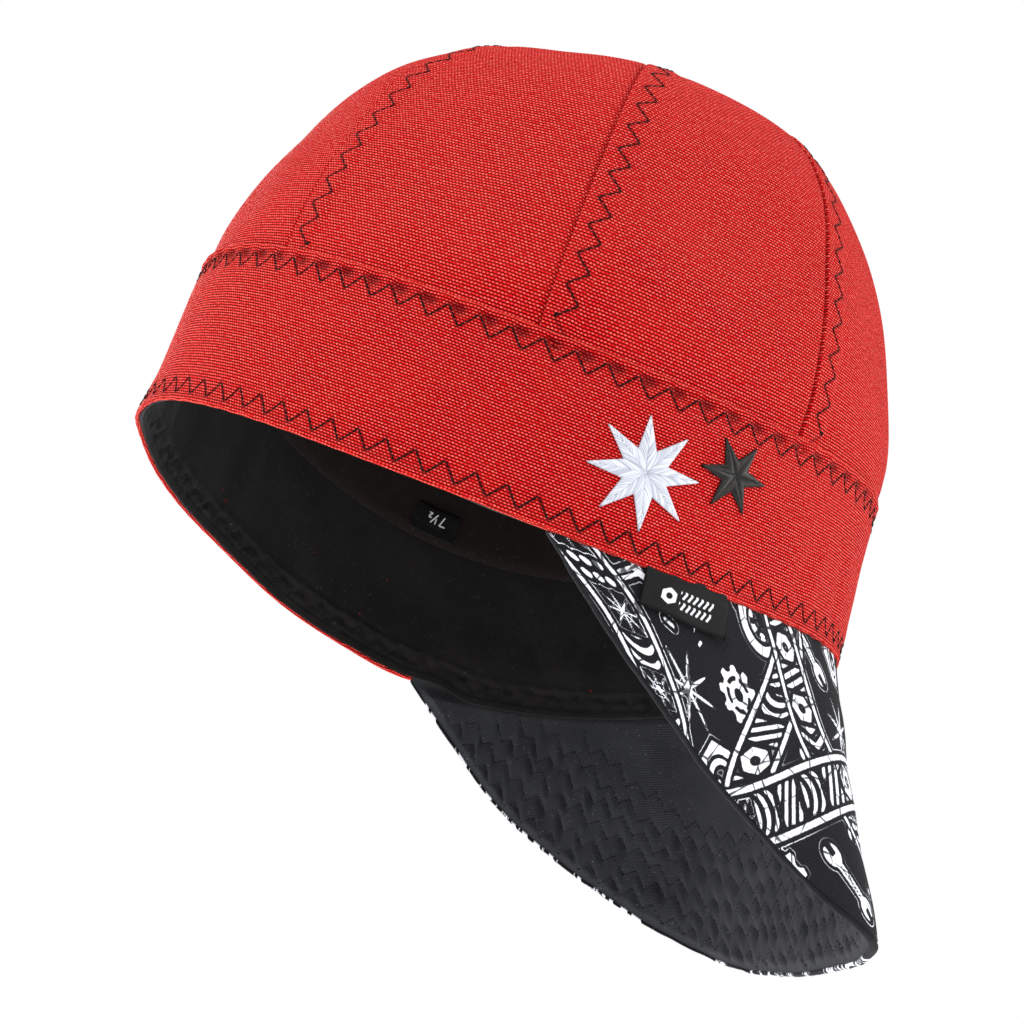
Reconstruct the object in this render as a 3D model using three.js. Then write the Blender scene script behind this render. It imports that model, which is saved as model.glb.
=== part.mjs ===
// A soft welding cap: an eight-gore canvas crown on a band, lined in black, with a short quilted bill.
// Sizes are in millimetres. The front looks along -Y and +Z is up. The origin is the centre of the head
// opening, at the mean height of its wavy rim.
import * as THREE from 'three';

// Head opening and band, outside sizes
const RIM_LENGTH = 204;
const RIM_WIDTH = 188;
const RIM_WAVE = 9;              // the front and back of the rim rise by this, its sides drop by it
const RIM_DIAGONAL = 0.979;      // the oval is drawn in a little between front and side
const BAND_HEIGHT = 47;
const BAND_TAPER = 1.2;          // the band's top is drawn in by this on every side

// Crown
const CAP_HEIGHT = 144.5;        // from the mean rim to the apex
const APEX_FORWARD = 4.4;        // the apex lies this far in front of the middle
const PANELS = 8;
const SEAM_TURN = -8;            // degrees from the front to the nearest crown seam
const PANEL_FLATNESS = 0.027;    // share by which the middle of a gore is flatter than its seams
const BAND_STEP = 1;             // the folded top edge of the band stands this proud of the crown
const TIP_SHARE = 0.996;         // the gores stop just short of the apex, where their tips meet

// Bill
const BILL_LENGTH = 80.4;        // from the rim to the edge, at the front
const BILL_SPAN = 178;           // degrees of the rim that the bill takes up
const BILL_TURN = 1;             // degrees from the front to the bill's middle
const BILL_STEP = 0.6;           // the band's lower edge stands this proud of the bill
const TONGUE_HEIGHT = 6;         // the underside goes up behind the band by this
const QUILT_ROWS = 7;            // rows of stitching that run round the underside

// Thicknesses and clearances
const CANVAS_WALL = 1.2;
const BAND_WALL = 1.6;
const LINING_WALL = 1;
const COVER_WALL = 1.2;
const SEAM_WALL = 1.2;           // underside of the bill along a row of stitching and at its edges
const PAD_WALL = 2.6;            // underside of the bill between two rows
const GAP = 0.3;
const LINING_HEM = 1.2;          // the red rim shows this far below the black lining
const LINING_LAP = 3;            // the crown lining comes down inside the band by this

// Behind the bill's tongue the band lining lies further in. It comes back to the band between two angles, in
// degrees past the bill's corner, and between two heights, in heights of the tongue.
const LINING_BEND = { nearCorner: 8, farCorner: 20, low: 1.5, high: 4 };

// Small trim
const TAB = { from: -73.5, to: -59.3, drop: 11, wall: 1.2 };
const LABEL = { from: 91.5, to: 100.5, rise: 6, wall: 0.8, gap: 0.7 };
const EMBROIDERY_WALL = 0.8;
const EMBROIDERY_GAP = 0.4;
const LIGHT_STAR = { turn: -78, height: 21.5, radius: 14.5, rays: 8, waist: 0.42, tilt: 11 };
const DARK_STAR = { turn: -64.5, height: 29.5, radius: 10, rays: 6, waist: 0.4, tilt: 4 };

// Facets: columns in each gore and round the bill, and rows up each piece
const GORE_FACETS = 6;
const CROWN_ROWS = 9;
const CROWN_ROW_SPREAD = 1.3;    // above 1 the crown's rows crowd towards the apex
const BAND_ROWS = 2;
const LINING_ROWS = 5;
const BILL_FACETS = 32;
const COVER_ROWS = 6;
const TAB_FACETS = 3;
const LABEL_FACETS = 2;

// Slopes of a face are measured over a short step, in radians or shares. A cross product of two slopes that
// is shorter than the flat one belongs to a pole, where the face looks straight up.
const SLOPE_STEP = 1e-4;
const FLAT_CROSS = 1e-9;

// Crown profile from the band's top (first row) to the apex (last row): the height as a share of the
// crown's rise, and the reach to the front and to the back as shares of the band's top
const CROWN = [
  { rise: 0.00, front: 1.000, back: 1.000 },
  { rise: 0.14, front: 1.003, back: 0.996 },
  { rise: 0.32, front: 0.970, back: 0.969 },
  { rise: 0.49, front: 0.923, back: 0.923 },
  { rise: 0.66, front: 0.857, back: 0.868 },
  { rise: 0.80, front: 0.785, back: 0.770 },
  { rise: 0.91, front: 0.695, back: 0.632 },
  { rise: 0.98, front: 0.567, back: 0.401 },
  { rise: 1.00, front: 0.000, back: 0.000 },
];

// Bill from its middle (first row) to either corner (last row): its length as a share of the length at the
// middle, and the angle in degrees by which it flares out from straight down
const BILL = [
  { length: 1.000, flare: 15 },
  { length: 0.991, flare: 17 },
  { length: 0.978, flare: 21 },
  { length: 0.924, flare: 24.5 },
  { length: 0.741, flare: 16 },
  { length: 0.568, flare: 9.5 },
  { length: 0.409, flare: 8 },
  { length: 0.218, flare: 10 },
  { length: 0.020, flare: 12 },
];

const { degToRad, smoothstep, clamp } = THREE.MathUtils;
const UP = new THREE.Vector3(0, 0, 1);

// Value of a table column at a share of the way down its evenly spaced rows, on a smooth curve through
// them. At a flat end the curve levels out, at any other end it carries on.
function readColumn(table, column, share, flatStart, flatEnd) {
  const last = table.length - 1;
  const place = share * last;
  const row = clamp(Math.floor(place), 0, last - 1);
  const part = place - row;
  const cell = (index) => table[index][column];
  const value = (index) => {
    if (index < 0) return flatStart ? cell(1) : 2 * cell(0) - cell(1);
    if (index > last) return flatEnd ? cell(last - 1) : 2 * cell(last) - cell(last - 1);
    return cell(index);
  };
  const [before, from, to, after] = [row - 1, row, row + 1, row + 2].map(value);
  const cubic = 3 * (from - to) + after - before;
  const square = 2 * before - 5 * from + 4 * to - after;
  return from + 0.5 * part * (to - before + part * (square + part * cubic));
}

// Point of a level oval at an angle from the front, positive towards +X
function ovalPoint(angle, halfLength, halfWidth, height) {
  const drawn = 1 - (1 - RIM_DIAGONAL) * Math.sin(2 * angle) ** 2;
  const x = halfWidth * Math.sin(angle) * drawn;
  const y = -halfLength * Math.cos(angle) * drawn;
  return new THREE.Vector3(x, y, height);
}

function rimHeight(angle) {
  return RIM_WAVE * Math.cos(2 * angle);
}

// Outer face of the band at a height above its rim
function bandFace(angle, height) {
  const taper = BAND_TAPER * height / BAND_HEIGHT;
  return ovalPoint(angle, RIM_LENGTH / 2 - taper, RIM_WIDTH / 2 - taper, height + rimHeight(angle));
}

// Outer face of the crown at a share of the way from the band's top to the apex
function crownFace(angle, share) {
  const towardsFront = 0.5 + 0.5 * Math.cos(angle);
  const frontReach = readColumn(CROWN, 'front', share, false, false);
  const backReach = readColumn(CROWN, 'back', share, false, false);
  const reach = frontReach * towardsFront + backReach * (1 - towardsFront);
  const betweenSeams = 0.5 - 0.5 * Math.cos(PANELS * (angle - degToRad(SEAM_TURN)));
  const flat = 1 - PANEL_FLATNESS * betweenSeams * Math.sin(Math.PI * share);
  const foot = BAND_HEIGHT + rimHeight(angle);
  const height = foot + (CAP_HEIGHT - foot) * readColumn(CROWN, 'rise', share, false, true);
  const inset = BAND_TAPER + BAND_STEP;
  const point = ovalPoint(angle, RIM_LENGTH / 2 - inset, RIM_WIDTH / 2 - inset, 0);
  point.multiplyScalar(reach * flat);
  point.y -= APEX_FORWARD * (1 - reach);
  point.z = height;
  return point;
}

// Share of the bill's half span, from -1 at one corner to 1 at the other
function billShare(angle) {
  return (angle - degToRad(BILL_TURN)) / degToRad(BILL_SPAN / 2);
}

function billLength(angle) {
  return BILL_LENGTH * readColumn(BILL, 'length', Math.abs(billShare(angle)), true, false);
}

// Outer face of the bill, from its edge (0) up to the rim (1)
function billFace(angle, up) {
  const flare = degToRad(readColumn(BILL, 'flare', Math.abs(billShare(angle)), true, false));
  const point = ovalPoint(angle, RIM_LENGTH / 2 - BILL_STEP, RIM_WIDTH / 2 - BILL_STEP, rimHeight(angle));
  const outwards = new THREE.Vector3(Math.sin(angle), -Math.cos(angle), 0);
  const down = billLength(angle) * (1 - up);
  point.addScaledVector(outwards, down * Math.sin(flare));
  return point.addScaledVector(UP, -down * Math.cos(flare));
}

// Point behind a face by a depth square to it, and moved sideways along the face. A negative depth is in
// front of it.
function layerPoint(face, angle, up, depth, sideways = 0) {
  const along = face(angle + SLOPE_STEP, up).sub(face(angle - SLOPE_STEP, up));
  const upwards = face(angle, up + SLOPE_STEP).sub(face(angle, up - SLOPE_STEP));
  const outwards = along.clone().cross(upwards);
  if (outwards.length() < FLAT_CROSS) outwards.copy(UP);
  return face(angle, up)
    .addScaledVector(outwards.normalize(), -depth)
    .addScaledVector(along.normalize(), sideways);
}

// Closes two matching grids of points, grid[column][row], into one wall. Columns run anticlockwise seen
// from above and rows run upwards. A ring's last column joins its first. A tip's top row is one point.
function wallGeometry(outer, inner, { ring = false, tip = false } = {}) {
  const columns = outer.length;
  const rows = outer[0].length;
  const corner = (side, column, row) => {
    const own = tip && row === rows - 1 ? 0 : column % columns;
    return (side * columns + own) * rows + row;
  };
  const faces = [];
  const triangle = (a, b, c) => {
    if (a !== b && b !== c && c !== a) faces.push(a, b, c);
  };
  const quad = (a, b, c, d) => {
    triangle(a, b, c);
    triangle(a, c, d);
  };
  const spans = ring ? columns : columns - 1;
  for (let c = 0; c < spans; c += 1) {
    for (let r = 0; r < rows - 1; r += 1) {
      quad(corner(0, c, r), corner(0, c + 1, r), corner(0, c + 1, r + 1), corner(0, c, r + 1));
      quad(corner(1, c, r), corner(1, c, r + 1), corner(1, c + 1, r + 1), corner(1, c + 1, r));
    }
    quad(corner(0, c, 0), corner(1, c, 0), corner(1, c + 1, 0), corner(0, c + 1, 0));
    if (!tip) {
      const top = rows - 1;
      quad(corner(0, c, top), corner(0, c + 1, top), corner(1, c + 1, top), corner(1, c, top));
    }
  }
  if (!ring) {
    const end = columns - 1;
    for (let r = 0; r < rows - 1; r += 1) {
      quad(corner(0, 0, r), corner(0, 0, r + 1), corner(1, 0, r + 1), corner(1, 0, r));
      quad(corner(0, end, r), corner(1, end, r), corner(1, end, r + 1), corner(0, end, r + 1));
    }
  }
  const points = [...outer.flat(), ...inner.flat()];
  const geometry = new THREE.BufferGeometry().setFromPoints(points);
  geometry.setIndex(faces);
  geometry.computeVertexNormals();
  return geometry;
}

// Evenly spaced values from one number to another
function spread(from, to, steps) {
  return Array.from({ length: steps + 1 }, (_, k) => from + (to - from) * k / steps);
}

// Column angles of a piece that goes all round, in line with the crown seams
function ringAngles() {
  const start = degToRad(SEAM_TURN);
  return spread(start, start + 2 * Math.PI, PANELS * GORE_FACETS).slice(0, -1);
}

function crownShares(top) {
  const shares = spread(0, 1, CROWN_ROWS).map((part) => 1 - (1 - part) ** CROWN_ROW_SPREAD);
  return [...shares.slice(0, -1), top];
}

// One canvas gore. Its foot sits on the band's top edge, and half a gap separates it from each seam line.
function crownPanel(index) {
  const first = degToRad(SEAM_TURN) + index * 2 * Math.PI / PANELS;
  const angles = spread(first, first + 2 * Math.PI / PANELS, GORE_FACETS);
  const layer = (depth) => angles.map((angle, column) => {
    const sideways = { 0: GAP / 2, [GORE_FACETS]: -GAP / 2 }[column] ?? 0;
    return crownShares(TIP_SHARE).map((share, row) => {
      const point = layerPoint(crownFace, angle, share, depth, sideways);
      if (row === 0) point.z = BAND_HEIGHT + rimHeight(angle) + GAP;
      return point;
    });
  });
  return wallGeometry(layer(0), layer(CANVAS_WALL));
}

// Black dome inside the gores. Its lowest row comes straight down inside the band.
function crownLining() {
  const layer = (depth) => ringAngles().map((angle) => {
    const dome = crownShares(1).map((share) => layerPoint(crownFace, angle, share, depth));
    dome[0].z = BAND_HEIGHT + rimHeight(angle);
    const hem = dome[0].clone().addScaledVector(UP, -LINING_LAP);
    return [hem, ...dome];
  });
  const depth = CANVAS_WALL + GAP;
  return wallGeometry(layer(depth), layer(depth + LINING_WALL), { ring: true, tip: true });
}

function band() {
  const heights = spread(0, BAND_HEIGHT, BAND_ROWS);
  const layer = (depth) => ringAngles().map((angle) => heights.map((height) => {
    const point = layerPoint(bandFace, angle, height, depth);
    point.z = height + rimHeight(angle);
    return point;
  }));
  return wallGeometry(layer(0), layer(BAND_WALL), { ring: true });
}

// Depth of the bill's underside behind the bill's own outer face
const UNDERSIDE_DEPTH = COVER_WALL + GAP;

// Depth of the band lining behind the band's face. In front it lies further in, behind the bill's tongue.
function liningDepth(angle, height) {
  const beside = BAND_WALL + GAP;
  const behindTongue = BILL_STEP + UNDERSIDE_DEPTH + SEAM_WALL + GAP;
  const turned = Math.atan2(Math.sin(angle), Math.cos(angle));
  const pastCorner = (Math.abs(billShare(turned)) - 1) * BILL_SPAN / 2;
  const { nearCorner, farCorner, low, high } = LINING_BEND;
  const overBill = 1 - smoothstep(pastCorner, nearCorner, farCorner);
  const lowDown = 1 - smoothstep(height, low * TONGUE_HEIGHT, high * TONGUE_HEIGHT);
  return beside + Math.max(behindTongue - beside, 0) * overBill * lowDown;
}

function bandLining() {
  const heights = spread(LINING_HEM, BAND_HEIGHT - LINING_LAP - GAP, LINING_ROWS);
  const layer = (depth) => ringAngles().map((angle) => heights.map((height) => {
    const point = layerPoint(bandFace, angle, height, liningDepth(angle, height) + depth);
    point.z = height + rimHeight(angle);
    return point;
  }));
  return wallGeometry(layer(0), layer(LINING_WALL), { ring: true });
}

function billAngles() {
  const middle = degToRad(BILL_TURN);
  const half = degToRad(BILL_SPAN / 2);
  return spread(middle - half, middle + half, BILL_FACETS);
}

function billCover() {
  const layer = (depth) => billAngles().map((angle) => {
    const rim = 1 - GAP / billLength(angle);
    return spread(0, rim, COVER_ROWS).map((up) => layerPoint(billFace, angle, up, depth));
  });
  return wallGeometry(layer(0), layer(COVER_WALL));
}

// Thickness of the underside, padded between its rows of stitching and thin at its edge and seam. It swells
// once past each row, and half a wave more brings it down to the seam.
function quiltWall(up) {
  const waves = QUILT_ROWS + 1 / 2;
  const pad = (1 + Math.cos(2 * Math.PI * waves * up)) / 2;
  const softEnds = Math.sqrt(Math.max(Math.sin(Math.PI * up), 0));
  return SEAM_WALL + (PAD_WALL - SEAM_WALL) * pad * softEnds;
}

// Quilted underside of the bill, with its tongue behind the band
function billUnderside() {
  const rows = spread(0, 1, 2 * QUILT_ROWS + 1);
  const tongueRows = [TONGUE_HEIGHT / 2, TONGUE_HEIGHT];
  const layer = (depthAt, tongueDepth) => billAngles().map((angle) => {
    const quilt = rows.map((up) => layerPoint(billFace, angle, up, depthAt(up)));
    const tongue = tongueRows.map((height) => layerPoint(bandFace, angle, height, tongueDepth));
    return [...quilt, ...tongue];
  });
  const tongueDepth = BILL_STEP + UNDERSIDE_DEPTH;
  const outer = layer(() => UNDERSIDE_DEPTH, tongueDepth);
  const inner = layer((up) => UNDERSIDE_DEPTH + quiltWall(up), tongueDepth + SEAM_WALL);
  return wallGeometry(outer, inner);
}

// Folded woven tab that hangs from the band's lower seam and lies on the bill
function sideTab() {
  const angles = spread(degToRad(TAB.from), degToRad(TAB.to), TAB_FACETS);
  const layer = (depth) => angles.map((angle) => {
    const length = billLength(angle);
    return spread(1 - TAB.drop / length, 1 - GAP / length, TAB_FACETS)
      .map((up) => layerPoint(billFace, angle, up, depth));
  });
  return wallGeometry(layer(-GAP - TAB.wall), layer(-GAP));
}

// Small label inside, sewn in where the two linings meet and lying on the crown lining
function sizeLabel() {
  const angles = spread(degToRad(LABEL.from), degToRad(LABEL.to), LABEL_FACETS);
  const layer = (depth) => angles.map((angle) => {
    const foot = BAND_HEIGHT + rimHeight(angle);
    const sharePerHeight = 1 / ((CROWN.length - 1) * CROWN[1].rise * (CAP_HEIGHT - foot));
    const bend = layerPoint(crownFace, angle, 0, depth);
    bend.z = foot;
    const seam = bend.clone().addScaledVector(UP, -LINING_LAP);
    return [seam, bend, layerPoint(crownFace, angle, LABEL.rise * sharePerHeight, depth)];
  });
  const depth = CANVAS_WALL + GAP + LINING_WALL + LABEL.gap;
  return wallGeometry(layer(depth), layer(depth + LABEL.wall));
}

// Raised star of satin stitch on the band: its rays lie low at their tips and swell towards the middle
function starPatch({ turn, height, radius, rays, waist, tilt }) {
  const centre = degToRad(turn);
  const ends = [-SLOPE_STEP, SLOPE_STEP].map((turned) => bandFace(centre + turned, height));
  const reachPerAngle = ends[0].distanceTo(ends[1]) / (2 * SLOPE_STEP);
  const place = (x, y, depth) => layerPoint(bandFace, centre + x / reachPerAngle, height + y, -depth);
  const outline = spread(0, 2 * Math.PI, 2 * rays).slice(0, -1).map((direction, k) => {
    const reach = radius * (k % 2 ? waist : 1);
    const turned = direction + degToRad(tilt);
    return [reach * Math.cos(turned), reach * Math.sin(turned)];
  });
  const low = EMBROIDERY_GAP;
  const high = EMBROIDERY_GAP + EMBROIDERY_WALL;
  const points = [
    place(0, 0, low),
    place(0, 0, high),
    ...outline.map(([x, y]) => place(x, y, low)),
    ...outline.map(([x, y]) => place(x, y, (low + high) / 2)),
  ];
  const count = outline.length;
  const faces = outline.flatMap((_, k) => {
    const [a, b] = [2 + k, 2 + (k + 1) % count];
    return [0, b, a, 1, a + count, b + count, a, b, b + count, a, b + count, a + count];
  });
  const geometry = new THREE.BufferGeometry().setFromPoints(points);
  geometry.setIndex(faces);
  geometry.computeVertexNormals();
  return geometry;
}

const redCanvas = { color: '#c3161c', roughness: 0.85, metalness: 0 };
const blackTwill = { color: '#121214', roughness: 0.9, metalness: 0 };
const printedCotton = { color: '#1b1c20', roughness: 0.8, metalness: 0 };
const greyPadding = { color: '#26282b', roughness: 0.9, metalness: 0 };
const wovenLabel = { color: '#0f0f11', roughness: 0.6, metalness: 0 };
const whiteThread = { color: '#eceef2', roughness: 0.5, metalness: 0 };
const blackThread = { color: '#141313', roughness: 0.4, metalness: 0 };

const cap = new THREE.Group();

function addPiece(name, geometry, finish) {
  const mesh = new THREE.Mesh(geometry, new THREE.MeshStandardMaterial(finish));
  mesh.name = name;
  cap.add(mesh);
}

for (let index = 0; index < PANELS; index += 1) {
  addPiece(`crown_panel_${index + 1}`, crownPanel(index), redCanvas);
}
addPiece('crown_lining', crownLining(), blackTwill);
addPiece('band', band(), redCanvas);
addPiece('band_lining', bandLining(), blackTwill);
addPiece('bill_cover', billCover(), printedCotton);
addPiece('bill_underside', billUnderside(), greyPadding);
addPiece('side_tab', sideTab(), wovenLabel);
addPiece('size_label', sizeLabel(), wovenLabel);
addPiece('embroidery_light', starPatch(LIGHT_STAR), whiteThread);
addPiece('embroidery_dark', starPatch(DARK_STAR), blackThread);

export default cap;
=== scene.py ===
"""Looks of a soft welding cap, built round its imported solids.

Every piece is a surface worked out from two numbers: an angle round the head, from the front towards +X,
and a height or a share of the way up. Sizes are in millimetres until a mesh is made.
"""

import math

import bmesh
import bpy
import numpy as np
from mathutils import Matrix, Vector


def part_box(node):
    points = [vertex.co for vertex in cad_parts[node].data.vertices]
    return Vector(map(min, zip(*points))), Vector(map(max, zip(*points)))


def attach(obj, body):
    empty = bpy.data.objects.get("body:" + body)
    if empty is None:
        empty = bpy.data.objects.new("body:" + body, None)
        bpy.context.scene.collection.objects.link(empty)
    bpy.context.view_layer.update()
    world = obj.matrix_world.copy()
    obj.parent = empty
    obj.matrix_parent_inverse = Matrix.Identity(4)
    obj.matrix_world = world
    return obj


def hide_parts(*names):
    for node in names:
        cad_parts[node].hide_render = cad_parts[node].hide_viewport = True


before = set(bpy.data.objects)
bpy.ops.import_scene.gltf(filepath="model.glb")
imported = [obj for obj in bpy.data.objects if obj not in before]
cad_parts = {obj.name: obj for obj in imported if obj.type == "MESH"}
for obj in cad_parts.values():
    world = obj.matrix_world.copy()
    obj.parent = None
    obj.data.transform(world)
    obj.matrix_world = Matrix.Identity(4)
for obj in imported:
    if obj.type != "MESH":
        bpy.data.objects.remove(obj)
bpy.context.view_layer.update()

MM = 0.001
TURN = 2 * math.pi


# Sizes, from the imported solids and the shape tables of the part

def corners(node):
    """Lowest and highest corner of a solid, in millimetres."""
    low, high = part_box(node)
    return np.array(low) / MM, np.array(high) / MM


BAND_LOW, BAND_HIGH = corners("band")
HALF_LENGTH = (BAND_HIGH[1] - BAND_LOW[1]) / 2
HALF_WIDTH = (BAND_HIGH[0] - BAND_LOW[0]) / 2
RIM_WAVE = -BAND_LOW[2]
BAND_HEIGHT = BAND_HIGH[2] - RIM_WAVE
CAP_HEIGHT = corners("crown_panel_1")[1][2]

RIM_DIAGONAL = 0.979             # reach of the oval on its diagonals, as a share of an ellipse's
BAND_TAPER = 1.2                 # how far the band is drawn in at its top
BAND_STEP = 1.0                  # from the band's top in to the crown's foot
APEX_FORWARD = 4.4               # from the middle of the rim
PANELS = 8
SEAM_TURN = math.radians(-8)     # angle of the first crown seam
PANEL_FLATNESS = 0.027           # how much flatter a gore is in its middle
BILL_LENGTH = 80.4               # in front, from the rim to the edge
BILL_TURN = math.radians(1)      # angle of the bill's middle
BILL_HALF_SPAN = math.radians(89)
BILL_STEP = 0.6                  # from the band's face in to the bill's
TONGUE_HEIGHT = 6.0              # of the underside's tongue, up behind the band
CANVAS_WALL = 1.2
BAND_WALL = 1.6
LINING_WALL = 1.0
GAP = 0.3                        # between two layers
LINING_HEM = 0.15                # from the rim up to the lining's lower edge
LINING_LAP = 3.0                 # of the dome lining, down inside the band
UNDERSIDE_DEPTH = 1.5            # from the bill's face in to its underside
SEAM_WALL = 1.2                  # of the underside's tongue

CROWN_RISE = np.array([0.00, 0.14, 0.32, 0.49, 0.66, 0.80, 0.91, 0.98, 1.00])
CROWN_FRONT = np.array([1.000, 1.003, 0.970, 0.923, 0.857, 0.785, 0.695, 0.567, 0.000])
CROWN_BACK = np.array([1.000, 0.996, 0.969, 0.923, 0.868, 0.770, 0.632, 0.401, 0.000])
BILL_SHARE = np.array([1.000, 0.991, 0.978, 0.924, 0.741, 0.568, 0.409, 0.218, 0.006])
BILL_SKEW = np.array([0, -0.2, -0.8, -1.55, -0.4, 0.85, 1.05, -0.1, 0])
BILL_FLARE = np.array([15, 17, 21, 24.5, 16, 9.5, 8, 10, 12])

# Stitching
THREAD = 0.18                    # radius of the sewing thread
ZIGZAG_WIDTH = 4.8
TOP_ROW_DROP = 2.6               # from the band's top edge to its upper zigzag
TOP_ANCHOR = -116.05             # place along the rim of one upper point of that zigzag
RIM_ROW_RISE = 1.8               # from the rim to its lower zigzag
RIM_ANCHOR = -112.55             # place along the rim of one lower point of that zigzag
SEAM_PITCH = 7.7
SEAM_ZIGZAG_WIDTH = 4.6
SEAM_ROW_GAP = 2.6               # from a crown seam to its zigzag
SEAM_PHASES = (0.0, 3.1, 5.2, 1.4, 6.3, 2.2, 4.4, 0.8)
QUILT_ROWS = 6
QUILT_FIRST = 4.8                # from the bill's edge to its first row of stitching
QUILT_STEP = 6.6
QUILT_PITCH = 7.6
QUILT_WIDTH = 3.6
LEG_STITCHES = 3                 # stitches in one leg of a zigzag


# Surfaces of the part, as functions of an angle and a height or share

def read_column(rows, share, flat_start=False, flat_end=False):
    """Smooth curve through evenly spaced rows: on each span the Catmull-Rom cubic of its four nearest rows.
    Past a flat end the inner row is mirrored, and past any other end the last step is carried on."""
    start = rows[1] if flat_start else 2 * rows[0] - rows[1]
    end = rows[-2] if flat_end else 2 * rows[-1] - rows[-2]
    known = np.concatenate([[start], rows, [end]])
    place = np.asarray(share) * (len(rows) - 1)
    row = np.clip(np.floor(place).astype(int), 0, len(rows) - 2)
    part = place - row
    before, here, there, after = (known[row + k] for k in range(4))
    cubic = 3 * (here - there) + after - before
    square = 2 * before - 5 * here + 4 * there - after
    return here + 0.5 * part * (there - before + part * (square + part * cubic))


def points(x, y, z):
    """Stacks three arrays of one shape, or that stretch to it, into points."""
    return np.stack(np.broadcast_arrays(x, y, z), axis=-1).astype(float)


def oval(angle, half_length, half_width):
    """The rim's oval: an ellipse drawn in by a share of the square of the sine of twice the angle."""
    drawn = 1 - (1 - RIM_DIAGONAL) * np.sin(2 * angle) ** 2
    return half_width * np.sin(angle) * drawn, -half_length * np.cos(angle) * drawn


def rim_height(angle):
    """The rim rises by its wave at front and back and drops by it at the sides."""
    return RIM_WAVE * np.cos(2 * angle)


def rim_droop(angle):
    """Small waves of the rim's height on its far side, each a place in degrees, a height and a width."""
    turned = np.degrees(np.mod(angle, TURN))
    waves = ((93, -1.4, 8), (133, 1.1, 12), (171, 1.0, 9), (187, -0.9, 7))
    return sum(height * hump(turned, place, width) for place, height, width in waves)


def band_face(angle, height):
    """Band: the oval, drawn in by the taper in step with the height above the rim. The rim's small waves
    fade out towards the band's top."""
    taper = BAND_TAPER * height / BAND_HEIGHT
    x, y = oval(angle, HALF_LENGTH - taper, HALF_WIDTH - taper)
    return points(x, y, height + rim_height(angle) + rim_droop(angle) * (1 - height / BAND_HEIGHT))


def crown_face(angle, share):
    """Crown: the band's top oval times its reach, which passes from the front column to the back one by
    the cosine of the angle and is flatter in the middle of each gore. The height follows the rise."""
    to_front = 0.5 + 0.5 * np.cos(angle)
    reach = read_column(CROWN_FRONT, share) * to_front + read_column(CROWN_BACK, share) * (1 - to_front)
    between = 0.5 - 0.5 * np.cos(PANELS * (angle - SEAM_TURN))
    flat = 1 - PANEL_FLATNESS * between * np.sin(math.pi * np.clip(share, 0, 1))
    foot = BAND_HEIGHT + rim_height(angle)
    inset = BAND_TAPER + BAND_STEP
    x, y = oval(angle, HALF_LENGTH - inset, HALF_WIDTH - inset)
    height = foot + (CAP_HEIGHT - foot) * read_column(CROWN_RISE, share, flat_end=True)
    return points(x * reach * flat, y * reach * flat - APEX_FORWARD * (1 - reach), height)


def bill_length(angle):
    """Length of the bill from rim to edge, by the share of its half span. The skew is added on the +X side
    and taken off on the other one."""
    turned = (angle - BILL_TURN) / BILL_HALF_SPAN
    share = np.clip(np.abs(turned), 0, 1)
    skew = np.sign(turned) * read_column(BILL_SKEW, share, flat_start=True)
    return BILL_LENGTH * read_column(BILL_SHARE, share, flat_start=True) + skew


def bill_face(angle, from_edge):
    """Bill: from the rim it goes straight down and flares outwards by its angle, so a point lies the bill's
    length less its distance from the edge along that slope."""
    share = np.clip(np.abs((angle - BILL_TURN) / BILL_HALF_SPAN), 0, 1)
    flare = np.radians(read_column(BILL_FLARE, share, flat_start=True))
    down = bill_length(angle) - from_edge
    x, y = oval(angle, HALF_LENGTH - BILL_STEP, HALF_WIDTH - BILL_STEP)
    out = down * np.sin(flare)
    rim = rim_height(angle) + rim_droop(angle)
    return points(x + out * np.sin(angle), y - out * np.cos(angle), rim - down * np.cos(flare))


def unit(vectors):
    """Vectors at length one."""
    return vectors / np.maximum(np.linalg.norm(vectors, axis=-1, keepdims=True), 1e-12)


def outwards(face, angle, up):
    """Direction square to a face: the cross product of its slopes along the two numbers."""
    nudge = 1e-4
    along = face(angle + nudge, up) - face(angle - nudge, up)
    upwards = face(angle, up + nudge) - face(angle, up - nudge)
    return unit(np.cross(along, upwards))


def lifted(face, angle, up, height):
    """Points a height in front of a face, square to it. A negative height lies behind the face."""
    angle, up, height = np.broadcast_arrays(angle, up, height)
    return face(angle, up) + outwards(face, angle, up) * height[..., None]


def ease(value, low, high):
    """Smooth step from 0 at low to 1 at high."""
    part = np.clip((value - low) / (high - low), 0, 1)
    return part * part * (3 - 2 * part)


def hump(value, middle, width):
    """Bell curve of height 1."""
    return np.exp(-((value - middle) / width) ** 2)


def triangle_wave(along, pitch):
    """0 at whole pitches, 1 halfway between them, and straight lines in between."""
    return 1 - np.abs(1 - 2 * np.mod(along / pitch, 1))


def soft_noise(x, y, length, seed, waves=14):
    """Smooth unevenness of about -1 to 1: a sum of sine waves of random direction and phase, whose
    wavelengths lie round the given length."""
    draw = np.random.default_rng(seed)
    total = np.zeros(np.broadcast(x, y).shape)
    for _ in range(waves):
        way, phase = draw.uniform(0, TURN, 2)
        number = TURN / (length * draw.uniform(0.6, 1.8))
        total += np.sin(number * (x * np.cos(way) + y * np.sin(way)) + phase)
    return total / math.sqrt(waves)


def lengths_along(line):
    """Distance along a line of points from its first one."""
    steps = np.linalg.norm(np.diff(line, axis=0), axis=1)
    return np.concatenate([[0], np.cumsum(steps)])


# Angle and length round the rim, for whatever is spaced along it
RIM_ANGLES = np.linspace(-math.pi, math.pi, 2881)
RIM_LENGTHS = lengths_along(band_face(RIM_ANGLES, 0 * RIM_ANGLES))
RIM_LENGTHS = RIM_LENGTHS - np.interp(0, RIM_ANGLES, RIM_LENGTHS)
GIRTH = RIM_LENGTHS[-1] - RIM_LENGTHS[0]


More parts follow.
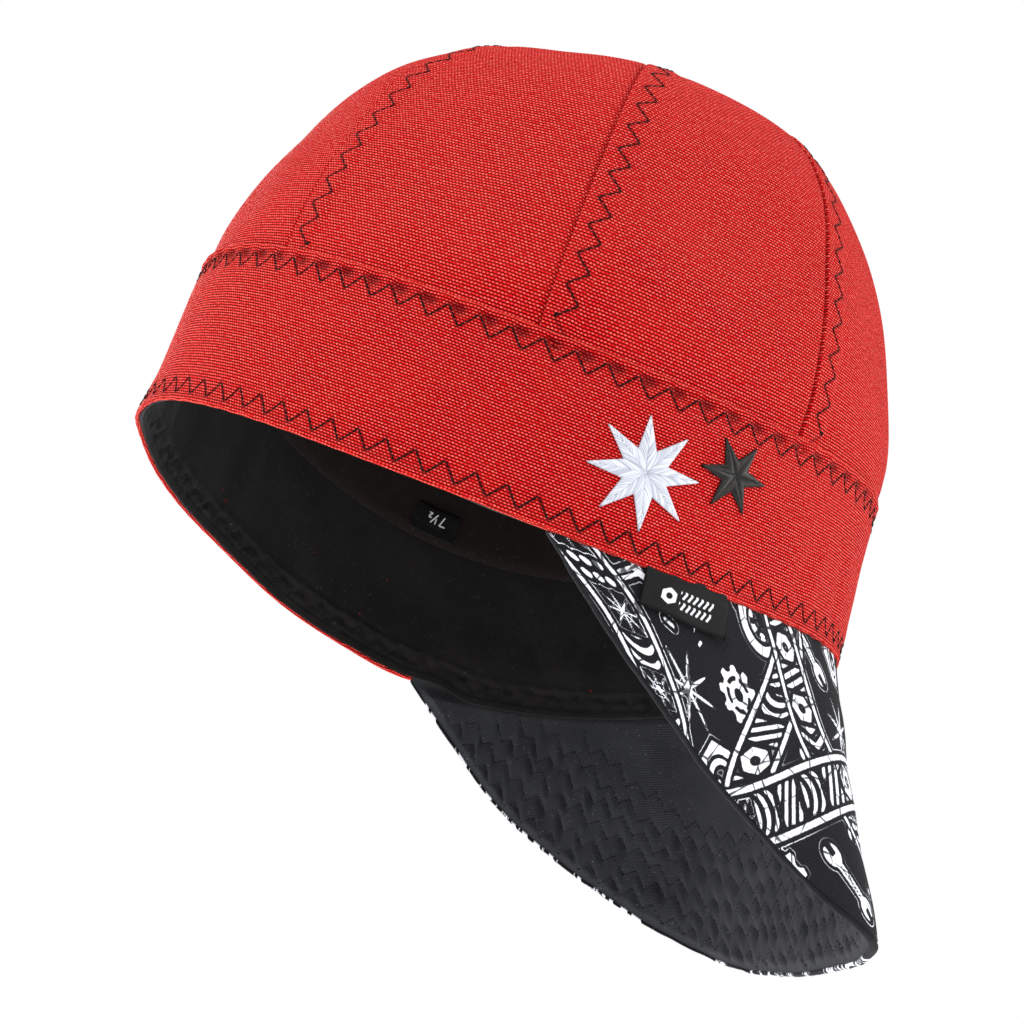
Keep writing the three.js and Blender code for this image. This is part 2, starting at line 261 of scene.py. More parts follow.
def rim_length(angle):
    """Length along the rim from the front to an angle."""
    return np.interp(angle, RIM_ANGLES, RIM_LENGTHS)


def rim_angle(length):
    """Angle at a length along the rim from the front."""
    return np.interp(length, RIM_LENGTHS, RIM_ANGLES)


def whole_pitch(pitch):
    """The pitch nearest to this one that goes round the rim a whole number of times."""
    return GIRTH / round(GIRTH / pitch)


def around(angle):
    """An angle brought between minus and plus half a turn."""
    return np.mod(angle + math.pi, TURN) - math.pi


RIM_PITCH = whole_pitch(7.7)
TOP_PITCH = whole_pitch(8.3)

# Rows of stitching: first place across the row, width towards its other side, pitch, and a place along it
TOP_ROW = (BAND_HEIGHT - TOP_ROW_DROP, -ZIGZAG_WIDTH, TOP_PITCH, TOP_ANCHOR)
RIM_ROW = (RIM_ROW_RISE, ZIGZAG_WIDTH, RIM_PITCH, RIM_ANCHOR)
SEAM_ROW = (SEAM_ROW_GAP, SEAM_ZIGZAG_WIDTH, SEAM_PITCH, 0.0)


# Meshes

def make_piece(name, vertices, faces, smooth, uv=None, marks=None):
    """One mesh object at the origin from points in millimetres. faces is a list of arrays, each of faces
    with the same number of corners; uv has a pair for every corner, marks a number for every vertex."""
    mesh = bpy.data.meshes.new(name)
    loops = np.concatenate([block.ravel() for block in faces])
    sizes = np.concatenate([np.full(len(block), block.shape[1]) for block in faces])
    starts = np.concatenate([[0], np.cumsum(sizes)[:-1]])
    mesh.vertices.add(len(vertices))
    mesh.vertices.foreach_set("co", (vertices * MM).astype(np.float32).ravel())
    mesh.loops.add(len(loops))
    mesh.loops.foreach_set("vertex_index", loops.astype(np.int32))
    mesh.polygons.add(len(sizes))
    mesh.polygons.foreach_set("loop_start", starts.astype(np.int32))
    mesh.polygons.foreach_set("use_smooth", smooth)
    if uv is not None:
        layer = mesh.uv_layers.new(name="cloth")
        layer.data.foreach_set("uv", uv.astype(np.float32).ravel())
    for mark, values in (marks or {}).items():
        layer = mesh.attributes.new(mark, "FLOAT", "POINT")
        layer.data.foreach_set("value", values.astype(np.float32).ravel())
    mesh.update(calc_edges=True)
    mesh.validate()
    piece = bpy.data.objects.new(name, mesh)
    bpy.context.scene.collection.objects.link(piece)
    return piece


def wall(name, sections, across, ring=False, marks=None, along=None):
    """Closed wall swept through closed sections, sections[column, point]. Columns run anticlockwise seen
    from above and each section goes up its outer face first, so a quad of two columns faces outwards.
    A ring's last column joins its first, any other wall's ends are closed. across is each column's place
    in millimetres along the cloth, and the length round the section is its other coordinate."""
    columns, count = sections.shape[:2]
    own = np.arange(columns * count).reshape(columns, count)
    here = own if ring else own[:-1]
    following = np.roll(own, -1, axis=0) if ring else own[1:]
    quads = [here, following, np.roll(following, -1, axis=1), np.roll(here, -1, axis=1)]
    quads = np.stack(quads, axis=-1).reshape(-1, 4)

    if along is None:
        loop = np.concatenate([sections, sections[:, :1]], axis=1)
        steps = np.linalg.norm(np.diff(loop, axis=1), axis=2)
        along = np.concatenate([np.zeros((columns, 1)), np.cumsum(steps, axis=1)], axis=1)
    else:
        along = np.concatenate([along, along[:, -1:] + 1], axis=1)
    if across.ndim == 1:
        across = np.repeat(across[:, None], count + 1, axis=1)
    else:
        across = np.concatenate([across, across[:, :1]], axis=1)
    if ring:
        along = np.concatenate([along, along[:1]], axis=0)
    place = np.stack([across, along], axis=-1)
    uv = [place[:-1, :-1], place[1:, :-1], place[1:, 1:], place[:-1, 1:]]
    uv = np.stack(uv, axis=2).reshape(-1, 2)

    faces = [quads]
    smooth = np.ones(len(quads), bool)
    if not ring:
        faces += [own[:1], own[-1:, ::-1]]
        smooth = np.concatenate([smooth, [False, False]])
        uv = np.concatenate([uv, place[0, :-1], place[-1, :-1][::-1]])
    return make_piece(name, sections.reshape(-1, 3), faces, smooth, uv, marks)


def threads(name, lines, normals, radii, sides=5):
    """Thin closed tubes, one along each line of points: rings of a few sides round every point, at right
    angles to the line, and a point on its axis at either end. A ring's point is its middle plus the radius
    times the cosine of its angle along the normal and times the sine across it."""
    count, rings = lines.shape[:2]
    tangents = unit(np.gradient(lines, axis=1))
    normals = np.broadcast_to(normals if normals.ndim == 3 else normals[:, None], lines.shape)
    beside = unit(np.cross(tangents, normals))
    above = np.cross(beside, tangents)
    radii = np.broadcast_to(radii, (count, rings))
    turn = np.arange(sides) * TURN / sides
    ring = (above[:, :, None] * np.cos(turn)[:, None] + beside[:, :, None] * np.sin(turn)[:, None])
    tube = lines[:, :, None] + ring * radii[:, :, None, None]
    first = lines[:, :1] - tangents[:, :1] * radii[:, :1, None] * 0.7
    last = lines[:, -1:] + tangents[:, -1:] * radii[:, -1:, None] * 0.7
    vertices = np.concatenate([tube.reshape(count, -1, 3), first, last], axis=1)

    k = np.arange(sides)
    after = np.roll(k, -1)
    row = np.arange(rings - 1)[:, None] * sides
    quads = np.stack([row + k, row + after, row + sides + after, row + sides + k], axis=-1).reshape(-1, 4)
    top = (rings - 1) * sides
    start, end = rings * sides, rings * sides + 1
    caps = np.concatenate([
        np.stack([np.full(sides, start), after, k], axis=-1),
        np.stack([np.full(sides, end), top + k, top + after], axis=-1),
    ])
    offset = (np.arange(count) * (rings * sides + 2))[:, None, None]
    quads = (quads[None] + offset).reshape(-1, 4)
    caps = (caps[None] + offset).reshape(-1, 3)
    smooth = np.ones(len(quads) + len(caps), bool)
    share = np.concatenate([np.repeat(np.linspace(0, 1, rings), sides), [0, 1]])
    marks = {"thread_share": np.tile(share, count)}
    marks["thread_tone"] = np.repeat(np.random.default_rng(7).uniform(0, 1, count), rings * sides + 2)
    return make_piece(name, vertices.reshape(-1, 3), [quads, caps], smooth, None, marks)


def stitch_lines(face, angle, up, height, seed):
    """Stitches between needle points that follow each other on a face: each is an arch of four points that
    starts and ends in the cloth and lies half sunk in it in between."""
    draw = np.random.default_rng(seed)
    spots = lifted(face, angle, up, 0)
    normal = outwards(face, angle, up)
    start, end = spots[:-1], spots[1:]
    way = unit(end - start)
    start = start + way * 0.12
    end = end - way * 0.12
    shares = np.array([0.0, 0.28, 0.72, 1.0])
    arch = np.array([-0.90, 0.40, 0.40, -0.90])
    middle = unit(normal[:-1] + normal[1:])
    level = (height[:-1] + height[1:]) / 2
    rise = arch[None, :] * THREAD * draw.uniform(0.75, 1.15, len(start))[:, None] + level[:, None]
    lines = start[:, None] + (end - start)[:, None] * shares[:, None] + middle[:, None] * rise[..., None]
    return lines, middle


def sew(name, rows, radius=THREAD):
    """One piece of thread from rows of stitches, each a pair of lines and normals."""
    lines, normals = zip(*rows)
    return threads(name, np.concatenate(lines), np.concatenate(normals), radius)


def zigzag(first, last, row):
    """Needle places of a row's zigzag: their length along it, and their place across it. Each leg is half a
    pitch long and is sewn in a few stitches."""
    side, width, pitch, anchor = row
    leg = pitch / 2
    start = anchor + math.ceil((first - anchor) / leg) * leg
    along = start + np.arange(int((last - start) / leg) * LEG_STITCHES + 1) * leg / LEG_STITCHES
    return along, side + width * triangle_wave(along - anchor, pitch)


def zigzag_round(row):
    """Needle places of a row once round the rim: their angle, and their place across the row."""
    pitch, anchor = row[2:]
    along, across = zigzag(anchor, anchor + GIRTH + pitch / 4, row)
    return rim_angle(np.mod(along - RIM_LENGTHS[0], GIRTH) + RIM_LENGTHS[0]), across


# Materials

def put(tree, kind, values=None, **settings):
    """Adds a shader node with its settings. A value that is a socket is linked, any other one is set."""
    node = tree.nodes.new("ShaderNode" + kind)
    for key, value in settings.items():
        setattr(node, key, value)
    for key, value in (values or {}).items():
        if isinstance(value, bpy.types.NodeSocket):
            tree.links.new(value, node.inputs[key])
        else:
            node.inputs[key].default_value = value
    return node


def calc(tree, operation, first, second=0.0, third=0.0):
    """Result of one arithmetic node."""
    return put(tree, "Math", {0: first, 1: second, 2: third}, operation=operation).outputs[0]


def ramp(tree, value, low, high, to_low=0.0, to_high=1.0):
    """Smooth step of a value from low to high."""
    values = {0: value, 1: low, 2: high, 3: to_low, 4: to_high}
    return put(tree, "MapRange", values, interpolation_type="SMOOTHSTEP").outputs[0]


def mixed(tree, share, first, second):
    """Colour between two colours."""
    return put(tree, "Mix", {0: share, 6: first, 7: second}, data_type="RGBA").outputs[2]


def summed(tree, *parts):
    """Sum of values, each times its own factor."""
    total = 0.0
    for value, factor in parts:
        total = calc(tree, "MULTIPLY_ADD", value, factor, total)
    return total


def tinted(tree, body, *tints):
    """A colour that takes on tints in turn, each up to its share as its value goes from low to high."""
    for value, low, high, share, colour in tints:
        body = mixed(tree, ramp(tree, value, low, high, 0.0, share), body, colour)
    return body


def rgb(red, green, blue):
    """Linear colour from the 0 to 255 numbers of a screen colour."""
    value = np.array([red, green, blue]) / 255
    linear = np.where(value <= 0.04045, value / 12.92, ((value + 0.055) / 1.055) ** 2.4)
    return (*linear.tolist(), 1.0)


def noise(tree, place, scale, detail=2.0, roughness=0.5):
    """Soft noise from 0 to 1 at a place."""
    values = {"Vector": place, "Scale": scale, "Detail": detail, "Roughness": roughness}
    return put(tree, "TexNoise", values).outputs[0]


def read_mark(tree, name):
    """A number that the mesh keeps for every vertex."""
    return put(tree, "Attribute", attribute_name=name).outputs["Fac"]


def object_place(tree):
    """Place on the object, in metres."""
    return put(tree, "TexCoord").outputs["Object"]


def cloth_place(tree):
    """Place on the cloth in millimetres: along it, up it, and both together."""
    place = put(tree, "UVMap", uv_map="cloth").outputs[0]
    parts = put(tree, "SeparateXYZ", {0: place})
    return parts.outputs[0], parts.outputs[1], place


def stretched(tree, place, sizes):
    """A place, with each direction multiplied by its own size."""
    return put(tree, "VectorMath", {0: place, 1: sizes}, operation="MULTIPLY").outputs[0]


def wave(tree, value, pitch):
    """Sine of a length over a pitch."""
    return calc(tree, "SINE", calc(tree, "MULTIPLY", value, TURN / pitch))


def start_material(name, **sockets):
    """A new cloth material, with plain numbers and colours on its shader's own sockets."""
    material = bpy.data.materials.new(name)
    material.use_nodes = True
    shader = material.node_tree.nodes["Principled BSDF"]
    for socket, value in sockets.items():
        shader.inputs[socket.replace("_", " ")].default_value = value
    return material, material.node_tree


def end_material(material, body, *relief):
    """Gives a material its colour, and bumps from heights in millimetres, each times its own factor."""
    tree = material.node_tree
    shader = tree.nodes["Principled BSDF"]
    bump = put(tree, "Bump", {"Height": summed(tree, *relief), "Distance": MM, "Strength": 1.0})
    tree.links.new(body, shader.inputs["Base Color"])
    tree.links.new(bump.outputs[0], shader.inputs["Normal"])
    return material


def plain_weave(tree, along, up, pitch, row):
    """Height from 0 to 1 of a ribbed plain weave: the size of a sine wave up the cloth gives a round ridge
    for every yarn row, and a sine wave along it, turned over from row to row, parts it into long bumps."""
    rows = wave(tree, up, 2 * row)
    ridge = calc(tree, "ABSOLUTE", rows)
    bump = calc(tree, "MULTIPLY", wave(tree, along, pitch), calc(tree, "SIGN", rows))
    gap = calc(tree, "POWER", calc(tree, "MULTIPLY_ADD", bump, -0.5, 0.5), 2.2)
    return calc(tree, "MULTIPLY", ridge, calc(tree, "MULTIPLY_ADD", gap, -0.50, 1.0))


def stitch_groove(tree, across, along, row, reach):
    """1 under a row's zigzag and 0 beside it: the distance to a triangle wave, square to its legs."""
    side, width, pitch, anchor = row
    place = calc(tree, "PINGPONG", calc(tree, "SUBTRACT", along, anchor), pitch / 2)
    line = calc(tree, "MULTIPLY_ADD", place, width / (pitch / 2), side)
    slant = math.cos(math.atan2(width, pitch / 2))
    away = calc(tree, "MULTIPLY", calc(tree, "ABSOLUTE", calc(tree, "SUBTRACT", across, line)), slant)
    return ramp(tree, away, 0.0, reach, 1.0, 0.0)


def red_canvas(name, rows, round_rim=False):
    """Ribbed red canvas: a plain weave of thick round yarns with a painted highlight on its crests and
    painted shade in its valleys, uneven yarns, folds made paler partly by wear and partly by a painted
    highlight, painted shade in the dents below the band's top fold and beside its rim zigzag, and a groove
    along each row of stitching, darkened with painted shade, which runs up it or round the rim."""
    material, tree = start_material(
        name, Roughness=0.85, Sheen_Weight=0.38, Sheen_Roughness=0.20, Sheen_Tint=rgb(255, 124, 112),
        Specular_IOR_Level=0.06)
    along, up, place = cloth_place(tree)
    spot = object_place(tree)
    wander = calc(tree, "MULTIPLY_ADD", noise(tree, spot, 160.0), 0.25, -0.12)
    weave = plain_weave(tree, calc(tree, "ADD", along, wander), calc(tree, "ADD", up, wander), 1.0, 0.77)
    yarns = noise(tree, stretched(tree, place, (0.08, 1.3, 0.0)), 1.0, 1.0)
    bits = noise(tree, stretched(tree, place, (0.9, 1.3, 0.0)), 1.0, 1.0)
    patches = noise(tree, spot, 45.0, 3.0)
    fuzz = noise(tree, spot, 2600.0, 2.0, 0.7)
    # Painted highlight: the weave's crests, with fuzz and flecks, take a pale pink as though lit.
    painted_highlight = summed(tree, (weave, 1.0), (fuzz, 0.45), (bits, 0.60))
    fold = read_mark(tree, "fold")
    across = read_mark(tree, "across_row")
    groove_and_painted_shade = 0.0
    for row in rows:
        own = stitch_groove(tree, across, along if round_rim else up, row, 0.7)
        groove_and_painted_shade = calc(tree, "MAXIMUM", own, groove_and_painted_shade)

    # Painted shade: the weave's valleys are dark red and its crests bright red.
    body = mixed(tree, ramp(tree, weave, 0.15, 0.68), rgb(58, 0, 3), rgb(208, 7, 14))
    body = tinted(
        tree, body,
        (painted_highlight, 1.33, 1.58, 0.92, rgb(255, 126, 112)),
        (yarns, 0.60, 0.34, 0.16, rgb(118, 3, 8)),
        (patches, 0.35, 0.75, 0.10, rgb(216, 40, 36)),
        # Fold mark: above 0 paler, partly wear and partly a painted highlight on ridges; below 0 painted
        # shade in dents.
        (fold, 0.1, 1.0, 0.16, rgb(240, 84, 70)),
        (fold, 0.0, -1.0, 0.70, rgb(74, 0, 5)))
    # Painted shade along each row of stitching, where the groove is.
    body = mixed(tree, calc(tree, "MULTIPLY", groove_and_painted_shade, 0.60), body, rgb(60, 1, 5))
    return end_material(material, body, (weave, 0.46), (yarns, 0.10), (fuzz, 0.05), (groove_and_painted_shade, -0.30))


def black_twill(name, base, light, row=0.55, lint=0.2, specks=0.0):
    """Dark twill: fine slanting ribs, soft fuzz, lint, and now and then a red fibre."""
    material, tree = start_material(
        name, Roughness=0.9, Sheen_Weight=0.09, Sheen_Roughness=0.5, Sheen_Tint=rgb(190, 190, 200),
        Specular_IOR_Level=0.10)
    along, up, _ = cloth_place(tree)
    spot = object_place(tree)
    rib = wave(tree, summed(tree, (up, 1.15), (along, 1.0)), row * 1.5)
    cross = wave(tree, calc(tree, "SUBTRACT", up, along), row)
    twill = calc(tree, "MULTIPLY_ADD", cross, 0.45, rib)
    cloud = noise(tree, spot, 60.0, 4.0, 0.6)
    fuzz = noise(tree, spot, 1900.0, 3.0, 0.7)
    fibres = noise(tree, stretched(tree, spot, (1.0, 1.0, 3.5)), 900.0, 1.0)
    tints = [
        (cloud, 0.4, 0.8, 0.45, light),
        (fibres, 0.70, 0.80, lint, rgb(150, 150, 156)),
        (fuzz, 0.66, 0.86, 0.35 * lint, rgb(120, 120, 124))]
    if specks:
        red = noise(tree, stretched(tree, spot, (2.0, 1.0, 1.0)), 520.0, 1.0)
        tints.append((red, 0.80, 0.83, specks, rgb(150, 30, 30)))
    body = tinted(tree, mixed(tree, ramp(tree, twill, -1.2, 1.4), base, light), *tints)
    return end_material(material, body, (twill, 0.035), (fuzz, 0.06))


def printed_cotton(name):
    """Dark cotton with a white print. The mesh keeps the distance to the print's edge, which is below 0
    inside it: the ink fills the inside, and here and there a thin line follows the print at a distance.
    Noise and fine cracks wear the ink."""
    material, tree = start_material(
        name, Roughness=0.85, Sheen_Weight=0.03, Sheen_Roughness=0.5, Specular_IOR_Level=0.10)
    along, up, _ = cloth_place(tree)
    spot = object_place(tree)
    weave = plain_weave(tree, along, up, 0.62, 0.48)
    ragged = calc(tree, "MULTIPLY_ADD", noise(tree, spot, 900.0, 3.0, 0.65), 0.4, -0.20)
    gap = calc(tree, "ADD", read_mark(tree, "print_gap"), ragged)
    ink = ramp(tree, gap, -0.10, 0.12, 1.0, 0.0)
    beside = calc(tree, "ABSOLUTE", calc(tree, "SUBTRACT", gap, 1.2))
    follower = ramp(tree, beside, 0.05, 0.17, 0.9, 0.0)
    follower = calc(tree, "MULTIPLY", follower, ramp(tree, noise(tree, spot, 26.0, 1.0), 0.44, 0.54))
    ink = calc(tree, "MAXIMUM", ink, follower)
    cells = put(tree, "TexVoronoi", {"Vector": spot, "Scale": 120.0}, feature="DISTANCE_TO_EDGE")
    broken = calc(tree, "MULTIPLY_ADD", noise(tree, spot, 220.0, 2.0), 0.10, -0.042)
    crack = calc(tree, "SUBTRACT", cells.outputs[0], broken)
    ink = calc(tree, "MULTIPLY", ink, ramp(tree, crack, 0.0, 0.02, 0.10, 1.0))
    worn = ramp(tree, noise(tree, spot, 1500.0, 2.0, 0.6), 0.28, 0.40, 0.55, 1.0)
    ink = calc(tree, "MULTIPLY", ink, worn)
    fuzz = noise(tree, spot, 2200.0, 2.0, 0.7)
    cloth = mixed(tree, ramp(tree, weave, 0.0, 0.9), rgb(1, 1, 2), rgb(17, 18, 23))
    cloth = tinted(tree, cloth, (fuzz, 0.62, 0.84, 0.15, rgb(70, 74, 84)))
    white = mixed(tree, ramp(tree, weave, 0.0, 0.8), rgb(186, 190, 200), rgb(236, 238, 244))
    return end_material(material, mixed(tree, ink, cloth, white), (fuzz, 0.04), (weave, 0.12), (ink, 0.02))


def woven_label(name):
    """Dense black ribbon: fine upright ribs crossed by weft rows, with light woven marks."""
    material, tree = start_material(
        name, Roughness=0.7, Sheen_Weight=0.02, Sheen_Roughness=0.35, Specular_IOR_Level=0.12)
    along, up, _ = cloth_place(tree)
    weave = summed(tree, (wave(tree, up, 0.27), 0.4), (wave(tree, along, 0.34), 0.6))
    fuzz = noise(tree, object_place(tree), 2400.0, 2.0, 0.7)
    cloth = mixed(tree, ramp(tree, weave, -1.0, 1.0), rgb(2, 2, 2), rgb(17, 17, 18))
    gap = calc(tree, "MULTIPLY_ADD", fuzz, 0.10, read_mark(tree, "print_gap"))
    mark = ramp(tree, gap, 0.0, 0.14, 1.0, 0.0)
    light = mixed(tree, ramp(tree, weave, -1.0, 0.8), rgb(168, 168, 174), rgb(226, 228, 232))
    return end_material(material, mixed(tree, mark, cloth, light), (mark, 0.05), (weave, 0.03))


def glossy_thread(name, dark, light, roughness, specular):
    """Smooth thread: each one of its own tone, with painted shade where it dives into the cloth, and a fine
    twist.
    """
    material, tree = start_material(
        name, Roughness=roughness, Sheen_Weight=0.03, Sheen_Roughness=0.3, Specular_IOR_Level=specular)
    body = mixed(tree, read_mark(tree, "thread_tone"), light, dark)
    # Painted shade at both ends of a stitch, where it dives in.
    ends = calc(tree, "ABSOLUTE", calc(tree, "SUBTRACT", read_mark(tree, "thread_share"), 0.5))
    body = tinted(tree, body, (ends, 0.36, 0.5, 0.45, dark))
    return end_material(material, body, (noise(tree, object_place(tree), 2600.0, 1.0), 0.04))


def pale_floor(name):
    """Plain pale floor with the faintest unevenness, a little brighter than its light alone makes it."""
    material, tree = start_material(
        name, Roughness=0.7, Specular_IOR_Level=0.2, Emission_Color=(1.0, 1.0, 1.0, 1.0),
        Emission_Strength=0.56)
    cloud = noise(tree, object_place(tree), 3.0, 3.0)
    body = mixed(tree, cloud, rgb(244, 244, 244), rgb(250, 250, 250))
    return end_material(material, body, (noise(tree, object_place(tree), 60.0), 0.2))


def dress(piece, material, slot, *nodes):
    """Gives a piece its material and body, and hides the solids that it stands for. slot is not used."""
    piece.data.materials.append(material)
    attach(piece, "root")
    if nodes:
        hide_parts(*nodes)
    return piece


# Camera and stage

TARGET = np.array([0.0, 0.0, 30.0])
VIEW_AZIMUTH = math.radians(-95.270)
VIEW_ELEVATION = math.radians(-19.130)
VIEW_ROLL = math.radians(19.333)
VIEW_DISTANCE = 555.620
FOCAL_PIXELS = 1985.025
IMAGE_PIXELS = 1024
SENSOR = 36.0
SHIFT_PIXELS = (4.268, -26.653)
WORLD_LIGHT = (0.46, 1.0)        # for the light on the cap, and as the camera sees it
FLOOR_REACH = 3000.0
FLOOR_HEIGHT = -350.0
FLOOR_LINES = 24

# Lights: name, way sideways, upwards and towards the camera, size, power
LIGHTS = (
    ("left_light", -0.95, 0.55, 0.05, 0.8, 12.0),
    ("right_light", 0.95, 0.45, -0.05, 0.8, 11.0),
    ("front_light", 0.1, 1.1, 0.45, 0.9, 10.0),
    ("far_light", -0.3, -0.05, -1.0, 0.8, 20.0),
)


def view_axes():
    """Right, up and back of the unrolled view: back points from the target to the camera."""
    flat = math.cos(VIEW_ELEVATION)
    level = np.array([math.sin(VIEW_AZIMUTH), -math.cos(VIEW_AZIMUTH)]) * flat
    back = np.array([*level, math.sin(VIEW_ELEVATION)])
    right = unit(np.cross(-back, [0, 0, 1]))
    return right, np.cross(right, -back), back


def axes_at(across, upwards, back, place):
    """Matrix of an object with these three axes at a place in metres."""
    matrix = np.eye(4)
    matrix[:3] = np.stack([across, upwards, back, place], axis=1)
    return Matrix(matrix.tolist())


def place_camera():
    """Camera of the photograph's view, turned about its own axis by the roll."""
    right, up, back = view_axes()
    across = right * math.cos(VIEW_ROLL) + up * math.sin(VIEW_ROLL)
    upwards = up * math.cos(VIEW_ROLL) - right * math.sin(VIEW_ROLL)
    data = bpy.data.cameras.new("camera")
    data.sensor_width = SENSOR
    data.lens = FOCAL_PIXELS / IMAGE_PIXELS * SENSOR
    data.shift_x = SHIFT_PIXELS[0] / IMAGE_PIXELS
    data.shift_y = SHIFT_PIXELS[1] / IMAGE_PIXELS
    data.clip_start = 0.01
    camera = bpy.data.objects.new("camera", data)
    camera.matrix_world = axes_at(across, upwards, back, (TARGET + back * VIEW_DISTANCE) * MM)
    bpy.context.scene.collection.objects.link(camera)
    bpy.context.scene.camera = camera


def area_light(name, sideways, upwards, towards, size, power):
    """Square light that looks at the cap from so many metres sideways, upwards and towards the camera."""
    right, up, back = view_axes()
    away = right * sideways + up * upwards + back * towards
    place = TARGET * MM + away
    away = unit(away)
    across = unit(np.cross([0.0, 0.0, 1.0], away))
    data = bpy.data.lights.new(name, "AREA")
    data.size = size
    data.energy = power
    light = bpy.data.objects.new(name, data)
    light.visible_camera = False
    light.matrix_world = axes_at(across, np.cross(away, across), away, place)
    bpy.context.scene.collection.objects.link(light)


def set_stage():
    """White surroundings, a pale floor far below the cap, and soft lights from both sides."""
    world = bpy.data.worlds.new("studio")
    world.use_nodes = True
    tree = world.node_tree
    background = tree.nodes["Background"]
    background.inputs["Color"].default_value = (1, 1, 1, 1)
    seen = put(tree, "LightPath").outputs["Is Camera Ray"]
    tree.links.new(ramp(tree, seen, 0.0, 1.0, *WORLD_LIGHT), background.inputs["Strength"])
    scene = bpy.context.scene
    scene.world = world
    scene.view_settings.view_transform = "Standard"
    scene.view_settings.look = "None"

    line = np.linspace(-FLOOR_REACH, FLOOR_REACH, FLOOR_LINES)
    x, y = np.meshgrid(line, line)
    own = np.arange(x.size).reshape(x.shape)
    quads = np.stack([own[:-1, :-1], own[:-1, 1:], own[1:, 1:], own[1:, :-1]], axis=-1).reshape(-1, 4)
    spots = points(x, y, FLOOR_HEIGHT).reshape(-1, 3)
    floor = make_piece("floor", spots, [quads], np.ones(len(quads), bool))
    floor.data.materials.append(pale_floor("pale_floor"))
    for light in LIGHTS:
        area_light(*light)


place_camera()
set_stage()


# Crown gores

GORE_ROWS = 118
GORE_INNER_ROWS = 22
GORE_MIDDLE_COLUMNS = 44
CROWN_TOP_GAP = 17               # from the apex to the last stitch beside a crown seam

# Knot at the foot of a seam's zigzag: places along it and across it, from its first needle place
KNOT_ALONG = np.array([0.9, 0.1, 1.1, 0.0])
KNOT_ACROSS = np.array([0.9, -0.2, 0.5, 0.3])

# Places of a gore's columns, in millimetres from its left and from its right edge
GORE_LEFT = np.array([
    0, 0.06, 0.16, 0.32, 0.5, 0.9, 1.4, 2.0, 2.8, 3.6, 4.4, 5.2, 6.0, 6.8, 7.6, 8.4, 9.2, 10.2])
GORE_RIGHT = np.array([4.5, 3.0, 2.0, 1.4, 1.0, 0.7, 0.45, 0.2, -0.1, -0.45, -0.9])


def crown_shares():
    """Shares of the way up at even steps of length, with the length in millimetres from the band's top."""
    dense = np.linspace(-0.028, 0.9996, 1500)
    middle = SEAM_TURN + math.pi / PANELS
    length = lengths_along(crown_face(np.full(dense.shape, middle), dense))
    length = length - np.interp(0, dense, length)
    return dense, length


CROWN_DENSE, CROWN_LENGTHS = crown_shares()


def gore_width(index, share):
    """Width of a gore at a share of the way up: a fine line across it, measured."""
    angles = SEAM_TURN + (index + np.linspace(0, 1, 25)) * TURN / PANELS
    line = crown_face(angles[:, None], share[None, :])
    return np.linalg.norm(np.diff(line, axis=0), axis=2).sum(axis=0)


def strip_scale(width):
    """Seam strips keep their width until the gore is narrow, and then shrink with it."""
    return np.minimum(1.0, width / 34.0)


def seam_fold(away, scale):
    """Height of the turned-in edge of a gore: a quarter round at the fold, level over the seam allowance,
    and back to the cloth behind it."""
    edge = 0.5
    round_part = np.sqrt(np.clip(edge ** 2 - (edge - np.clip(away, 0, edge)) ** 2, 0, None)) - edge
    allowance = 1 - ease(away, 6.4, 9.4)
    return (0.42 * allowance + round_part * 0.8) * scale


def crown_swell(angle, share):
    """Soft unevenness of the crown's cloth, less at its foot."""
    place = crown_face(angle, share)
    rolled = soft_noise(place[..., 0] + place[..., 1], place[..., 2], 48.0, 11)
    return 0.32 * rolled * ease(share, 0.0, 0.2) * (1 - ease(share, 0.9, 1.0))


def seam_pucker(sewn, away, scale):
    """Small waves along a gore's seam strip, one for every pitch of its zigzag."""
    return 0.13 * np.cos(TURN * sewn / SEAM_PITCH) * hump(away, 4.2, 3.2) * scale


def gore(index, material):
    """One canvas gore. Its left edge is turned in and lies on the gore before it, and its right edge dives
    under the next one. Columns are close together at both edges and spread out in between."""
    length = np.linspace(CROWN_LENGTHS[0], CROWN_LENGTHS[-1], GORE_ROWS)
    share = np.interp(length, CROWN_LENGTHS, CROWN_DENSE)
    width = gore_width(index, share)
    scale = strip_scale(width)
    left = GORE_LEFT[:, None] * scale
    right = width - GORE_RIGHT[:, None] * scale
    middle = left[-1] + (right[0] - left[-1]) * np.linspace(0, 1, GORE_MIDDLE_COLUMNS + 2)[1:-1, None]
    across = np.concatenate([left, middle, right])
    angle = SEAM_TURN + (index + across / width) * TURN / PANELS
    up = np.broadcast_to(share, angle.shape)

    away = across / scale
    fold = seam_fold(away, scale)
    dive = -0.75 * ease((across - width) / scale, -1.3, -0.1) * scale
    sewn = np.broadcast_to(length, across.shape) + SEAM_PHASES[index]
    pulled = -0.12 * hump(away, 9.6, 1.8) * scale
    base = crown_swell(angle, up)
    height = base + fold + dive + seam_pucker(sewn, away, scale) + pulled
    outer = lifted(crown_face, angle, up, height)

    rows = np.linspace(0, GORE_ROWS - 1, GORE_INNER_ROWS).round().astype(int)[::-1]
    under = (base + np.where(away < 10, fold * 0.4, 0) + dive - 1.0)[:, rows]
    inner = lifted(crown_face, angle[:, rows], up[:, rows], under)
    sections = np.concatenate([outer, inner], axis=1)

    def both(values):
        """Values of the outer face's points, followed by those of the inner face's."""
        return np.concatenate([values, values[:, rows]], axis=1)

    # Fold mark: paler along the seam's folded edge, partly wear and partly a painted highlight on the
    # ridge.
    marks = {"fold": both(0.25 * hump(away, 0.35, 0.4)), "across_row": both(away)}
    piece = wall(f"canvas_gore_{index + 1}", sections, both(across - width / 2), False, marks, both(sewn))
    return dress(piece, material, "red_canvas", f"crown_panel_{index + 1}")


